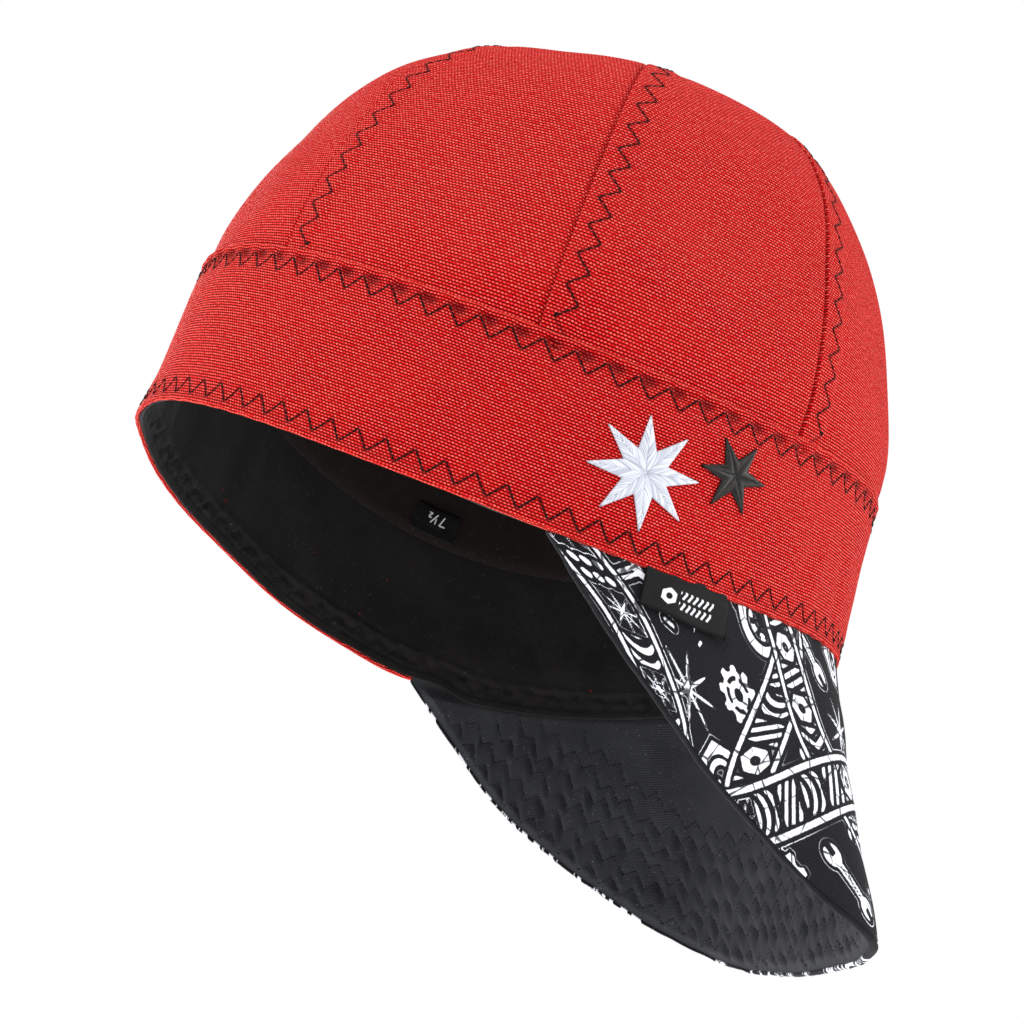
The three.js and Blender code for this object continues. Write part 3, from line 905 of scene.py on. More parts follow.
def crown_stitching():
    """Zigzag beside every crown seam, with a knot at its foot, up to where the gores grow narrow."""
    rows = []
    for index, phase in enumerate(SEAM_PHASES):
        sewn, across = zigzag(0.6 + phase, CROWN_LENGTHS[-1] - CROWN_TOP_GAP + phase, SEAM_ROW)
        sewn = np.concatenate([sewn[0] + KNOT_ALONG, sewn])
        across = np.concatenate([across[0] + KNOT_ACROSS, across])
        share = np.interp(sewn - phase, CROWN_LENGTHS, CROWN_DENSE)
        width = gore_width(index, share)
        scale = strip_scale(width)
        angle = SEAM_TURN + (index + across * scale / width) * TURN / PANELS
        height = crown_swell(angle, share) + seam_fold(across, scale) + seam_pucker(sewn, across, scale)
        rows.append(stitch_lines(crown_face, angle, share, height, seed=20 + index))
    return sew("crown_stitches", rows)


# Band

# Upright wrinkles: place along the rim, lean, depth and width
WRINKLES = (
    (-72, 0.20, -0.55, 3.2), (-65, 0.15, 0.50, 3.0), (-52, -0.25, -0.65, 3.0),
    (-44, -0.15, 0.45, 3.4), (-36, 0.10, -0.50, 3.0), (-20, 0.2, 0.4, 4.0),
    (66, -0.2, -0.5, 3.6), (94, 0.2, 0.5, 4.0), (150, 0.1, -0.4, 4.0))
MEAN_RADIUS = 98                 # of the rim
BAND_COLUMNS = 900


def rim_columns(count):
    """Even angles once round the rim, as a column, and their lengths with the whole round added."""
    angle = -math.pi + np.arange(count) * TURN / count
    return angle[:, None], np.append(rim_length(angle), rim_length(math.pi))


def ring_place(length):
    """Place on a circle at a length along the rim, so that noise closes on itself round the cap."""
    turned = TURN * length / GIRTH
    return MEAN_RADIUS * np.cos(turned), MEAN_RADIUS * np.sin(turned)


def band_swell(angle, height):
    """Soft folds of the band: low unevenness all round and a few upright wrinkles."""
    length = rim_length(around(angle))
    x, y = ring_place(length)
    rolled = soft_noise(x + 0.6 * height, y - 0.4 * height, 55.0, 5)
    middle = ease(height, 2, 14) * (1 - ease(height, 36, 45))
    wrinkles = 0.0
    for place, lean, depth, width in WRINKLES:
        wrinkles = wrinkles + depth * hump(length - lean * (height - 20), place, width)
    low_part = ease(height, 3, 9) * (1 - ease(height, 18, 34))
    return 0.42 * rolled * middle + 0.9 * wrinkles * low_part


def band_profile(angle, height):
    """Relief up the band: a round ridge at the folded top edge and at the hem, pulled in at both zigzags,
    with a deep dent beside every upper point of the top one."""
    top = BAND_HEIGHT - height
    along = rim_length(around(angle))
    rim_turn = TURN * (along - RIM_ANCHOR) / RIM_PITCH
    top_turn = TURN * (along - TOP_ANCHOR) / TOP_PITCH
    ridge = 0.34 * hump(top, 0.7, 0.5) + 0.12 * hump(height, 1.1, 1.0)
    pulled = -0.24 * hump(top, 5.0, 2.1) - 0.20 * hump(height, 4.2, 2.1)
    pucker = 0.07 * np.cos(rim_turn) * hump(height, 1.0, 2.2)
    pucker = pucker + 0.12 * np.cos(top_turn) * hump(top, 1.6, 1.6)
    return ridge + pulled + pucker - 0.6 * top_dents(angle, height)


def top_dents(angle, height):
    """Dents below the top fold, 1 where they are deepest: one in every upper gap of the top zigzag, mostly
    beside the gap's first point."""
    along = rim_length(around(angle)) - TOP_ANCHOR
    top = BAND_HEIGHT - height
    below_line = TOP_ROW_DROP + ZIGZAG_WIDTH * triangle_wave(along, TOP_PITCH) - top
    side = 0.62 + 0.38 * np.cos(TURN * along / TOP_PITCH - 1.8)
    strip = ease(top, 1.3, 2.1) * (1 - ease(top, 3.0, 5.6))
    return ease(below_line, 0.2, 1.5) * strip * np.clip(side, 0, 1)


def band_height_at(angle, height):
    """Height of the band's cloth in front of its plain face."""
    return band_swell(angle, height) + band_profile(angle, height)


def thin_hem(angle, height):
    """1 at the rim beside the bill, where the hem is thin, and 0 over the bill and further up the band."""
    past = np.degrees(np.abs(around(angle - BILL_TURN)) - BILL_HALF_SPAN)
    return ease(past, 3, 12) * (1 - ease(height, 0.5, 5.0))


def canvas_band(material):
    """Canvas band: one closed section all round, with a folded top edge and a hem that turns inwards."""
    angle, length = rim_columns(BAND_COLUMNS)
    low_rows = np.array([0.15, 0.45, 0.8, 1.2, 1.7, 2.3, 3.0, 3.8, 4.6, 5.4, 6.3, 7.3])
    high_rows = BAND_HEIGHT - np.array([7.4, 6.4, 5.5, 4.7, 3.9, 3.1, 2.4, 1.8, 1.3, 0.9, 0.55, 0.25])
    rows = np.concatenate([low_rows, np.linspace(low_rows[-1], high_rows[0], 20)[1:-1], high_rows])
    outer = lifted(band_face, angle, rows, band_height_at(angle, rows))

    # Over the top fold, down the inside, and round the hem: each row's height and its depth
    over = [(BAND_HEIGHT - 0.04, -0.18), (BAND_HEIGHT + 0.05, -0.48), (BAND_HEIGHT - 0.05, -0.78)]
    inside = [(BAND_HEIGHT - 0.5, -0.95), (43.0, -0.98), (40.5, -1.5), (30, -1.55), (20, -1.55), (9, -1.55),
              (2.2, -1.55), (0.7, -1.62)]
    hem = [(0.15, -1.5), (-0.16, -1.15), (-0.24, -0.75), (-0.16, -0.3)]
    height, depth = np.array(over + inside + hem).T
    edge = 0.06 * np.cos(TURN * (rim_length(angle) - RIM_ANCHOR) / RIM_PITCH) * (height < 1)
    thin = 1 - 0.45 * thin_hem(angle, height)
    back = lifted(band_face, angle, height, band_swell(angle, height) + depth * thin + edge)
    sections = np.concatenate([outer, back], axis=1)

    heights = np.concatenate([rows, height])
    # Fold mark: above 0 paler at the top fold and the hem, partly wear and partly a painted highlight on
    # the ridges; below 0 painted shade beside the rim's zigzag.
    worn = hump(rows, BAND_HEIGHT - 0.5, 0.45) + 0.6 * hump(rows, 0.1, 0.4) - 0.30 * hump(rows, 1.8, 1.3)
    worn = np.concatenate([worn, np.full(len(over), 0.9), np.zeros(len(inside)), np.full(len(hem), 1.0)])
    # Painted shade in the dents below the top fold.
    worn = worn - 1.1 * top_dents(angle, heights)
    marks = {"fold": worn, "across_row": np.ones(angle.shape) * heights}
    piece = wall("canvas_band", sections, length, True, marks)
    return dress(piece, material, "red_canvas", "band")


def band_stitching():
    """Zigzags round the band: one below its top fold, one above its rim."""
    rows = []
    for seed, row in enumerate((TOP_ROW, RIM_ROW)):
        angle, height = zigzag_round(row)
        rows.append(stitch_lines(band_face, angle, height, band_height_at(angle, height), seed=seed))
    return sew("band_stitches", rows)


# Linings

LINING_COLUMNS = 620
DOME_COLUMNS = 448
DOME_RADIUS = 92                 # where the dome's raised seams have their own width


def lining_depth(angle, height):
    """Depth of the band lining behind the band's face: further in where the bill's tongue is behind it, and
    further out behind the thin hem."""
    beside = BAND_WALL + GAP - 0.80 * thin_hem(angle, height)
    behind_tongue = BILL_STEP + UNDERSIDE_DEPTH + SEAM_WALL + GAP
    past = np.degrees(np.abs(around(angle - BILL_TURN)) - BILL_HALF_SPAN)
    over_bill = 1 - ease(past, 8, 20)
    low_down = 1 - ease(height, 1.5 * TONGUE_HEIGHT, 4 * TONGUE_HEIGHT)
    return beside + (behind_tongue - beside) * over_bill * low_down


def lining_bulge(angle, height):
    """How far the inner face of the band lining stands into the cap: soft folds, a rolled lower edge, a
    ridge where the canvas hem ends behind it, and stitches pulled through from the band's zigzags."""
    length = rim_length(around(angle))
    x, y = ring_place(length)
    rolled = soft_noise(x + 0.8 * height, y, 26.0, 31)
    creases = soft_noise(x, y + 0.15 * height, 13.0, 32)
    middle = ease(height, 5, 14) * (1 - ease(height, 34, 43))
    folds = (0.45 * rolled + 0.28 * creases) * (0.25 + 0.75 * middle)
    low = lining_edge(angle)
    edge = 0.22 * hump(height, low + 0.7, 0.6) + 0.16 * hump(height, low + 2.0, 0.5)
    edge = edge + 0.30 * hump(height, low + 8.4, 0.9) - 0.24 * hump(height, low + 2.9, 0.5)
    line = low + 3.4 + 4.0 * triangle_wave(length - RIM_ANCHOR, RIM_PITCH)
    pulled = -0.46 * hump(height - line, 0, 1.2)
    crumpled = 0.24 * soft_noise(length, height, 4.0, 33) * hump(height, low + 6, 4.5)
    return folds + edge + pulled + crumpled - band_swell(angle, np.clip(height, 0, BAND_HEIGHT))


def lining_edge(angle):
    """Height of the band lining's lower edge: just above the rim, a little higher on the -X side, and
    lapped over the bill where it is long."""
    inside = np.abs(around(angle - BILL_TURN)) < BILL_HALF_SPAN
    reach = np.where(inside, bill_length(np.where(inside, angle, 0)), 0)
    return LINING_HEM + 0.7 * (0.5 - 0.5 * np.sin(angle)) ** 2 - 3.9 * ease(reach, 4, 20)


def lining_band(material):
    """Black lining of the band, from just above the rim to the crown's lining."""
    angle, length = rim_columns(LINING_COLUMNS)
    top = BAND_HEIGHT - LINING_LAP - GAP
    low = lining_edge(angle)
    back_rows = low + 0.2 + (top - 0.4 - low) * np.linspace(0, 1, 9)
    swell = band_swell(angle, np.clip(back_rows, 0, BAND_HEIGHT))
    back = lifted(band_face, angle, back_rows, swell - lining_depth(angle, back_rows))
    fixed = np.concatenate([np.linspace(top, 30, 12), np.linspace(29, 14, 14)])
    lowest = 13.2 + (low - 13.2) * np.linspace(0, 1, 26)
    rows = np.concatenate([np.tile(fixed, (len(angle), 1)), lowest], axis=1)
    depth = lining_depth(angle, rows) + LINING_WALL * 0.7 - 0.6 * ease(rows, top - 1.7, top)
    front = lifted(band_face, angle, rows, -depth - lining_bulge(angle, rows))
    piece = wall("lining_band", np.concatenate([back, front], axis=1), length, True)
    return dress(piece, material, "black_lining", "band_lining")


def lining_stitching():
    """Inner side of the rim's zigzag, on the band lining."""
    angle, across = zigzag_round((0.0, 4.0, RIM_PITCH, RIM_ANCHOR))
    height = lining_edge(angle) + 3.4 + across
    depth = lining_depth(angle, height) + LINING_WALL * 0.7 + lining_bulge(angle, height)
    line, normal = stitch_lines(band_face, angle, height, -depth, seed=4)
    line = line + normal[:, None] * THREAD * 0.3
    return threads("lining_stitches", line, normal, THREAD * 0.7)


def lining_dome(material):
    """Black dome inside the gores: a hem that comes down inside the band, then the crown's own shape, with
    a raised seam under every crown seam. Its folds only go inwards, clear of the gores' seams. Both faces
    end in one point at the apex."""
    turns = np.arange(DOME_COLUMNS + 1) * TURN / DOME_COLUMNS
    angle = (SEAM_TURN + turns[:-1])[:, None]
    seam = np.abs(np.mod((angle - SEAM_TURN) / TURN * PANELS + 0.5, 1) - 0.5) * TURN / PANELS * DOME_RADIUS

    def layer(shares, depths, hem_out):
        """Rows of one face: two down the hem, its lowest moved out, and then up the dome."""
        dome = lifted(crown_face, angle, shares, -depths)
        hem = np.repeat(dome[:, :1], 2, axis=1)
        drops = np.array([LINING_LAP + 1.8, LINING_LAP * 0.3])
        hem[..., 2] = BAND_HEIGHT + rim_height(angle) - drops
        hem[:, 0, :2] *= 1 + hem_out / HALF_LENGTH
        return np.concatenate([hem, dome], axis=1)

    depth = CANVAS_WALL + GAP
    back = layer(np.linspace(0.02, 1, 12), np.array(depth), 0.0)
    shares = 1 - (1 - np.linspace(0.01, 1, 48)) ** 1.2
    ridge = 0.45 * hump(seam, 1.6, 1.3) - 0.15 * hump(seam, 0, 0.6)
    place = crown_face(angle, shares)
    rolled = soft_noise(place[..., 0] - place[..., 1], place[..., 2] * 1.2, 30.0, 41)
    folds = 0.5 * np.maximum(rolled, -0.3) + 0.45
    fade = (1 - ease(shares, 0.9, 1.0)) * ease(shares, 0.0, 0.08)
    front = layer(shares, depth + LINING_WALL + (ridge + folds) * fade, 0.8)
    sections = np.concatenate([back, front[:, ::-1]], axis=1)
    piece = wall("lining_dome", sections, (SEAM_TURN + turns) * MEAN_RADIUS, True)
    close_poles(piece)
    return dress(piece, material, "black_lining", "crown_lining")


def close_poles(piece):
    """Merges the points that lie on each other at a pole."""
    shape = bmesh.new()
    shape.from_mesh(piece.data)
    bmesh.ops.remove_doubles(shape, verts=shape.verts, dist=1e-6)
    shape.to_mesh(piece.data)
    shape.free()


# Print of the bill: distances, in millimetres or shares of a motif's size, that are below 0 inside a shape

def turned_by(x, y, turn):
    """Place seen from axes that are turned by an angle."""
    return x * math.cos(turn) + y * math.sin(turn), y * math.cos(turn) - x * math.sin(turn)


def box_gap(x, y, half_x, half_y):
    """Distance to a box: past its corner, or the larger of the two overhangs inside."""
    over_x, over_y = np.abs(x) - half_x, np.abs(y) - half_y
    outside = np.hypot(np.maximum(over_x, 0), np.maximum(over_y, 0))
    return outside + np.minimum(np.maximum(over_x, over_y), 0)


def line_gap(x, y, x1, y1, x2, y2, half):
    """Distance to a straight stroke with round ends."""
    share = np.clip(((x - x1) * (x2 - x1) + (y - y1) * (y2 - y1)) / ((x2 - x1) ** 2 + (y2 - y1) ** 2), 0, 1)
    return np.hypot(x - x1 - share * (x2 - x1), y - y1 - share * (y2 - y1)) - half


def hexagon_gap(x, y, size):
    """Distance to a hexagon: the largest of its three pairs of sides."""
    parts = [np.abs(x * math.cos(k * math.pi / 3) + y * math.sin(k * math.pi / 3)) for k in range(3)]
    return np.maximum.reduce(parts) - size


def gear_gap(x, y):
    """Toothed wheel: a disc whose radius steps out at nine teeth, with a ring and a hole cut out."""
    away, turned = np.hypot(x, y), np.arctan2(y, x)
    teeth = 0.10 * np.clip(2.6 * np.cos(9 * turned), -1, 1)
    rim = np.maximum(away - 0.86 - teeth, 0.62 - away)
    hub = np.abs(away - 0.34) - 0.11
    beside = np.abs(np.mod(turned * 5 / TURN, 1) - 0.5) * TURN / 5 * away
    spokes = np.maximum(beside - 0.07, away - 0.7)
    return np.minimum(np.minimum(rim, hub), np.maximum(spokes, 0.3 - away))


def nut_gap(x, y):
    """Hexagon nut: a hexagon with a round hole, and a thin ring left dark round the hole."""
    away = np.hypot(x, y)
    body = np.maximum(hexagon_gap(x, y, 0.86), 0.40 - away)
    return np.maximum(body, 0.055 - np.abs(away - 0.60))


def spanner_gap(x, y):
    """Open spanner: a straight handle between two heads, each with a notch."""
    total = np.maximum(box_gap(x, y, 0.75, 0.13), -box_gap(x, y, 0.5, 0.035))
    for side in (-1, 1):
        notch = box_gap(x - side * 1.08, y - 0.05 * side, 0.26, 0.13)
        total = np.minimum(total, np.maximum(np.hypot(x - side * 0.86, y) - 0.34, -notch))
    return total


def bolt_gap(x, y):
    """Bolt from the side: a head, a shank and slanting threads cut across it."""
    head = box_gap(x + 0.78, y, 0.20, 0.44)
    shank = box_gap(x - 0.15, y, 0.75, 0.22)
    cuts = np.abs(np.mod((x + 0.35 * y) * 4.2, 1) - 0.5) / 4.2 - 0.032
    threaded = np.where(x > -0.2, np.maximum(shank, -cuts), shank)
    return np.minimum(head, threaded)


def spark_gap(x, y):
    """Spark: long thin rays that alternate with short ones round a small disc."""
    away, turned = np.hypot(x, y), np.arctan2(y, x)
    rays = np.abs(np.cos(4 * turned)) ** 14 * (0.55 + 0.45 * np.cos(4 * turned) ** 2)
    return away - 0.16 - 0.80 * rays


def washer_gap(x, y):
    """Washer with a broken inner ring."""
    away, turned = np.hypot(x, y), np.arctan2(y, x)
    dashes = np.where(np.sin(7 * turned) > -0.25, 0, 1)
    return np.minimum(np.abs(away - 0.78) - 0.13, np.abs(away - 0.42) - 0.09 + dashes)


MOTIFS = (gear_gap, spanner_gap, nut_gap, spark_gap, bolt_gap, washer_gap)
MOTIF_ROWS = 5
MOTIF_COLUMNS = 9                # on either side of the middle one
MOTIF_STEPS = (22.0, 20.0)       # along the bill and down it
MOTES = 170

# Ribbons down the bill: place along it, lean, bend and phase
RIBBONS = (
    (-128, 0.5, 5, 0.4), (-96, -0.45, 6, 1.1), (-62, 0.55, 6, 2.0), (-22, -0.35, 6, 3.5),
    (22, 0.40, 6, 0.9), (62, -0.50, 6, 5.0), (96, 0.45, 5, 2.6), (130, -0.5, 5, 4.0))


def ribbon_gap(centre, along, half, line, pitch):
    """Ribbon along a line: two outlines, and between them a row of plain figures that change from cell to
    cell: nested chevrons, a nut, a hatched block, a weld's scallops, a spark and rows of dots."""
    away = np.abs(centre)
    cell = np.floor(along / pitch)
    place = (along / pitch - cell - 0.5) * pitch
    tall = half - line - 0.9
    wide = pitch * 0.38
    frame_gap = np.maximum(away - tall, np.abs(place) - wide)
    chevrons = np.maximum(np.abs(np.mod(place + away * 0.7, 4.2) - 2.1) - 0.85, frame_gap)
    nut = np.maximum(hexagon_gap(place, centre, tall * 0.86), tall * 0.36 - np.hypot(place, centre))
    hatched = np.maximum(np.abs(np.mod(place + centre * 0.5, 3.0) - 1.5) - 0.70, frame_gap)
    arcs = place - np.sqrt(np.clip(tall * tall * 1.4 - centre ** 2, 0, None))
    scallops = np.maximum(np.abs(np.mod(arcs, 3.4) - 1.7) - 0.75, frame_gap)
    spark = spark_gap(place / tall, centre / tall) * tall
    dots = np.hypot(np.abs(place) - wide * 0.5, np.mod(centre + 1.3, 2.6) - 1.3) - 0.95
    figures = [chevrons, nut, hatched, scallops, spark, np.maximum(dots, away - tall)]
    kind = np.mod(cell * 5 + np.floor(cell / 3) * 2, len(figures))
    chosen = np.choose(kind.astype(int), figures)
    return np.minimum(np.abs(away - half) - line, chosen)


def print_gap(along, down):
    """Distance to the white print on the bill: motifs on a loose grid with small fillers between them, and
    ribbons that wind across, each with a dark margin that hides what lies under it."""
    draw = np.random.default_rng(12)
    total = np.full(along.shape, 4.0)
    step_x, step_y = MOTIF_STEPS
    for row in range(MOTIF_ROWS):
        for column in range(-MOTIF_COLUMNS, MOTIF_COLUMNS + 1):
            x0 = (column + 0.5 * (row % 2)) * step_x + draw.uniform(-2, 2)
            y0 = 4 + row * step_y + draw.uniform(-2, 2)
            kind = MOTIFS[(column * 2 + row * 3 + int(draw.integers(0, 2))) % len(MOTIFS)]
            size = draw.uniform(7.2, 9.6)
            x, y = turned_by((along - x0) / size, (down - y0) / size, draw.uniform(0, TURN))
            total = np.minimum(total, kind(x, y) * size)
    for _ in range(MOTES):
        x0, y0 = draw.uniform(-165, 165), draw.uniform(0, 86)
        size, way = draw.uniform(0.55, 1.2), draw.uniform(0, TURN)
        reach = draw.uniform(0, 2.6)
        x1, y1 = x0 + 0.01 + reach * math.cos(way), y0 + reach * math.sin(way)
        mote = line_gap(along, down, x0, y0, x1, y1, size / 2)
        total = np.where(total > 1.0, np.minimum(total, np.maximum(mote, 1.0 - total)), total)
    for x0, lean, bend, phase in RIBBONS:
        offset = along - x0 - lean * (down - 40) - bend * np.sin(down / 14 + phase)
        slope = lean + bend / 14 * np.cos(down / 14 + phase)
        centre = offset / np.sqrt(1 + slope ** 2)
        ribbon = ribbon_gap(centre, down * math.sqrt(1 + lean ** 2) + x0, 5.6, 0.6, 8.4)
        total = np.minimum(np.maximum(total, 7.2 - np.abs(centre)), ribbon)
    middle = 46 + 9 * np.sin(along / 23 + 0.7)
    centre = (down - middle) / np.sqrt(1 + (9 / 23 * np.cos(along / 23 + 0.7)) ** 2)
    total = np.maximum(total, 7.6 - np.abs(centre))
    return np.minimum(total, ribbon_gap(centre, along, 6.2, 0.7, 9.4))


# Bill

COVER_COLUMNS = 560
COVER_ROWS = 132
UNDERSIDE_COLUMNS = 600
UNDERSIDE_ROWS = 140
PRINT_FAN = 190                  # the print spreads by its size again over this length down the bill
NO_PRINT = 9.0

# Lip of the printed cover, round the edge of the underside: distance from the edge, and height
COVER_LIP = np.array([
    (1.1, -1.2), (0.9, -2.1), (0.6, -2.35), (0.25, -2.4), (-0.05, -2.2), (-0.26, -1.8),
    (-0.34, -1.3), (-0.30, -0.8), (-0.18, -0.35)])


def bill_angles(count):
    """Angles across the bill at even steps of length along the rim, and those lengths, as columns."""
    ends = rim_length(np.array([BILL_TURN - BILL_HALF_SPAN, BILL_TURN + BILL_HALF_SPAN]))
    length = np.linspace(ends[0], ends[1], count)[:, None]
    return rim_angle(length), length


def bill_swell(angle, from_edge):
    """Soft unevenness of the bill, none at its seam with the band."""
    place = bill_face(angle, from_edge)
    rolled = soft_noise(place[..., 0], place[..., 2] + 0.7 * place[..., 1], 40.0, 51)
    return 0.55 * rolled * ease(bill_length(angle) - from_edge, 1, 16)


def cover_height(angle, from_edge):
    """Relief of the printed cover: its swell, and puckers at the rim."""
    down = bill_length(angle) - from_edge
    pucker = 0.22 * np.cos(TURN * rim_length(angle) / RIM_PITCH) * hump(down, 0, 3.5)
    return bill_swell(angle, from_edge) + pucker


def printed_cover(material):
    """Printed upper side of the bill: its face from the edge to the rim, back down behind, and a lip at the
    edge that turns round the underside. Near the corner the lip shows no print."""
    angle, length = bill_angles(COVER_COLUMNS)
    reach = bill_length(angle)
    from_edge = np.linspace(0, 1, COVER_ROWS) * (reach - GAP)
    front = lifted(bill_face, angle, from_edge, cover_height(angle, from_edge))
    corner = 0.15 + 0.85 * ease(reach, 0.5, 9)
    back_edge = 2.6 * corner + np.linspace(1, 0, 8) * np.maximum(reach - GAP - 2.6 * corner, 0.05)
    back = lifted(bill_face, angle, back_edge, bill_swell(angle, back_edge) - 1.0)
    lip_edge, lip_height = COVER_LIP.T
    ragged = 0.10 * soft_noise(length, lip_height, 5.0, 61)
    swell = bill_swell(angle, lip_edge)
    lip = lifted(bill_face, angle, lip_edge * corner + ragged, swell + lip_height * corner)
    sections = np.concatenate([front, back, lip], axis=1)

    down = reach - from_edge
    ink = print_gap(length * (1 + down / PRINT_FAN), down)
    down = reach + 0.5 - lip_height
    lip_ink = print_gap(length * (1 + down / PRINT_FAN), down)
    lip_ink = np.where(angle < math.radians(-23), NO_PRINT, lip_ink)
    hidden = np.full(back_edge.shape, NO_PRINT)
    marks = {"print_gap": np.concatenate([ink, hidden, lip_ink], axis=1)}
    piece = wall("printed_cover", sections, length[:, 0], False, marks)
    return dress(piece, material, "printed_cotton", "bill_cover")


def quilt_rows():
    """Every row of quilting: its distance from the edge, and the length along it at each dense angle."""
    dense = np.linspace(BILL_TURN - BILL_HALF_SPAN, BILL_TURN + BILL_HALF_SPAN, 900)
    rows = []
    for k in range(QUILT_ROWS):
        from_edge = QUILT_FIRST + k * QUILT_STEP
        line = bill_face(dense, np.minimum(from_edge, bill_length(dense)))
        rows.append((from_edge, dense, lengths_along(line)))
    return rows


QUILT = quilt_rows()


def quilt_strength(angle):
    """The quilting is deep on the far side and in front, and all but gone towards the near corner."""
    return ease(np.degrees(angle), -40, -2)


def quilt_wander(along, row):
    """How far a row of quilting strays from its place."""
    return 0.9 * soft_noise(along, 0 * along + row, 24.0, 73)


def quilt_wall(angle, from_edge):
    """Thickness of the underside: padded between the rows of stitching, pinched along each zigzag by a bell
    curve of the distance to it, more on one leg than on the other and more in some places than in others,
    and thin at its edge and at the rim."""
    angle, from_edge = np.broadcast_arrays(angle, from_edge)
    reach = bill_length(angle)
    pinch = np.zeros(angle.shape)
    slant = math.cos(math.atan2(QUILT_WIDTH, QUILT_PITCH / 2))
    for row, dense, lengths in QUILT:
        along = np.interp(angle, dense, lengths)
        line = row + quilt_wander(along, row) + QUILT_WIDTH * (triangle_wave(along, QUILT_PITCH) - 0.5)
        away = (from_edge - line) * slant
        steep = 0.62 + 0.38 * np.sin(TURN * along / QUILT_PITCH)
        uneven = 0.62 + 0.42 * soft_noise(along, 0 * along + row, 7.0, 72)
        inwards = 1 - ease(row, 26, 44)
        sewn = ease(reach - row, 5.0, 11.0) * inwards * np.clip(uneven * steep, 0, 1.0)
        pinch = np.maximum(pinch, sewn * (0.45 * hump(away, 0, 0.9) + 0.55 * hump(away, 0, 2.4)))
    ends = ease(from_edge, 0.4, 4.0) * ease(reach - from_edge, 0.2, 4.5)
    pad = 1.45 - 1.45 * pinch * quilt_strength(angle)
    tuck = 0.26 * soft_noise(from_edge * 1.2, rim_length(angle), 17.0, 71)
    return SEAM_WALL * 0.55 + (pad + 0.4 + tuck) * ends


def quilt_height(angle, from_edge):
    """Height of the quilted face in front of the bill's plain face, below 0 because it lies behind it."""
    return bill_swell(angle, from_edge) - UNDERSIDE_DEPTH - quilt_wall(angle, from_edge)


def quilted_underside(material):
    """Padded underside: its quilted face from the edge to the rim, and a tongue behind the band."""
    angle, length = bill_angles(UNDERSIDE_COLUMNS)
    reach = bill_length(angle)
    tongue = np.array([0.8, 2.0, 4.0, TONGUE_HEIGHT])
    tongue_depth = BILL_STEP + UNDERSIDE_DEPTH
    back_edge = 0.9 + np.linspace(0, 1, 8) * (reach - 0.9)
    back = lifted(bill_face, angle, back_edge, bill_swell(angle, back_edge) - UNDERSIDE_DEPTH)
    back_tongue = lifted(band_face, angle, tongue, -tongue_depth)
    front_tongue = lifted(band_face, angle, tongue[::-1], -tongue_depth - SEAM_WALL)
    from_edge = 0.55 + np.linspace(1, 0, UNDERSIDE_ROWS) * (reach - 0.55)
    front = lifted(bill_face, angle, from_edge, quilt_height(angle, from_edge))
    sections = np.concatenate([back, back_tongue, front_tongue, front], axis=1)
    piece = wall("quilted_underside", sections, length[:, 0], False)
    dress(piece, material, "quilted_padding", "bill_underside")
    return piece


def quilt_stitching():
    """Stitches of every quilted row, on the underside's face."""
    rows = []
    for index, (row, dense, lengths) in enumerate(QUILT):
        sewn = dense[(bill_length(dense) - row > 7.5) & (quilt_strength(dense) > 0.3)]
        ends = np.interp(sewn[[0, -1]], dense, lengths)
        along, across = zigzag(ends[0], ends[1], (-QUILT_WIDTH / 2, QUILT_WIDTH, QUILT_PITCH, 0.0))
        angle = np.interp(along, lengths, dense)
        from_edge = row + across + quilt_wander(along, row)
        height = quilt_height(angle, from_edge)
        line, normal = stitch_lines(bill_face, angle, from_edge, height, seed=80 + index)
        rows.append((line + normal[:, None] * THREAD * 0.2, normal))
    return sew("quilt_stitches", rows, THREAD * 0.8)


# Trim

TAB_FROM, TAB_TO = math.radians(-73.5), math.radians(-59.3)
TAB_DROP = 11.0
TAB_WALL = 0.38
TAB_COLUMNS, TAB_ROWS = 90, 56
FRAYED_ENDS = 8
LABEL_FROM, LABEL_TO = math.radians(91.5), math.radians(100.5)
LABEL_RISE = 6.0                 # from the lining's seam to the label's top
LABEL_COLUMNS, LABEL_ROWS = 80, 56
NUMBER_SCALE = 0.85


def folded_tab(material):
    """Folded ribbon that hangs from the rim over the bill: one thin section down in front, round the fold
    and up behind, with the gap between its layers left open. It is a little shorter at its left end."""
    angle = np.linspace(TAB_FROM, TAB_TO, TAB_COLUMNS)[:, None]
    length = rim_length(angle)
    reach = bill_length(angle)
    drop = np.linspace(TAB_DROP - 1.3, TAB_DROP - 0.2, TAB_COLUMNS)[:, None]
    down = np.linspace(-1.0, TAB_DROP - 0.6, TAB_ROWS)
    curl = 0.28 * soft_noise(length, down * 0.7, 12.0, 91)
    front = 0.45 + 1.05 * ease(down, 0.2, 3.4) + 0.12 * np.sin(down / 1.6) + curl
    behind = front - TAB_WALL

    def layer(rows_down, height):
        """Rows at places down the tab, each drawn in with the tab's own length."""
        rows = np.where(rows_down > 0, rows_down * drop / TAB_DROP, rows_down)
        return lifted(bill_face, angle, reach - rows, height)

    def fold(turns):
        """Rows round the fold: how far each is below the full drop, and its height."""
        below, height = np.array(turns).T
        return layer(TAB_DROP + below, height + curl[:, -1:])

    back_down = np.linspace(TAB_DROP - 0.7, -0.6, 8)
    sections = np.concatenate([
        layer(down[::-1], front[:, ::-1]),
        layer(down[:1], behind[:, :1]),
        layer(down[6::6], behind[:, 6::6]),
        fold([(-0.5, 1.06), (-0.38, 0.9), (-0.5, 0.74)]),
        layer(back_down, 0.66),
        layer(back_down[::-1], 0.30),
        fold([(-0.3, 0.34), (0.02, 0.62), (0.1, 1.0), (-0.15, 1.38)]),
    ], axis=1)
    ink = tab_gap(length - length.mean(), TAB_DROP / 2 - down[::-1])
    rest = np.full((TAB_COLUMNS, sections.shape[1] - TAB_ROWS), NO_PRINT)
    marks = {"print_gap": np.concatenate([ink, rest], axis=1)}
    piece = wall("folded_tab", sections, length[:, 0], False, marks)
    return dress(piece, material, "woven_label", "side_tab")


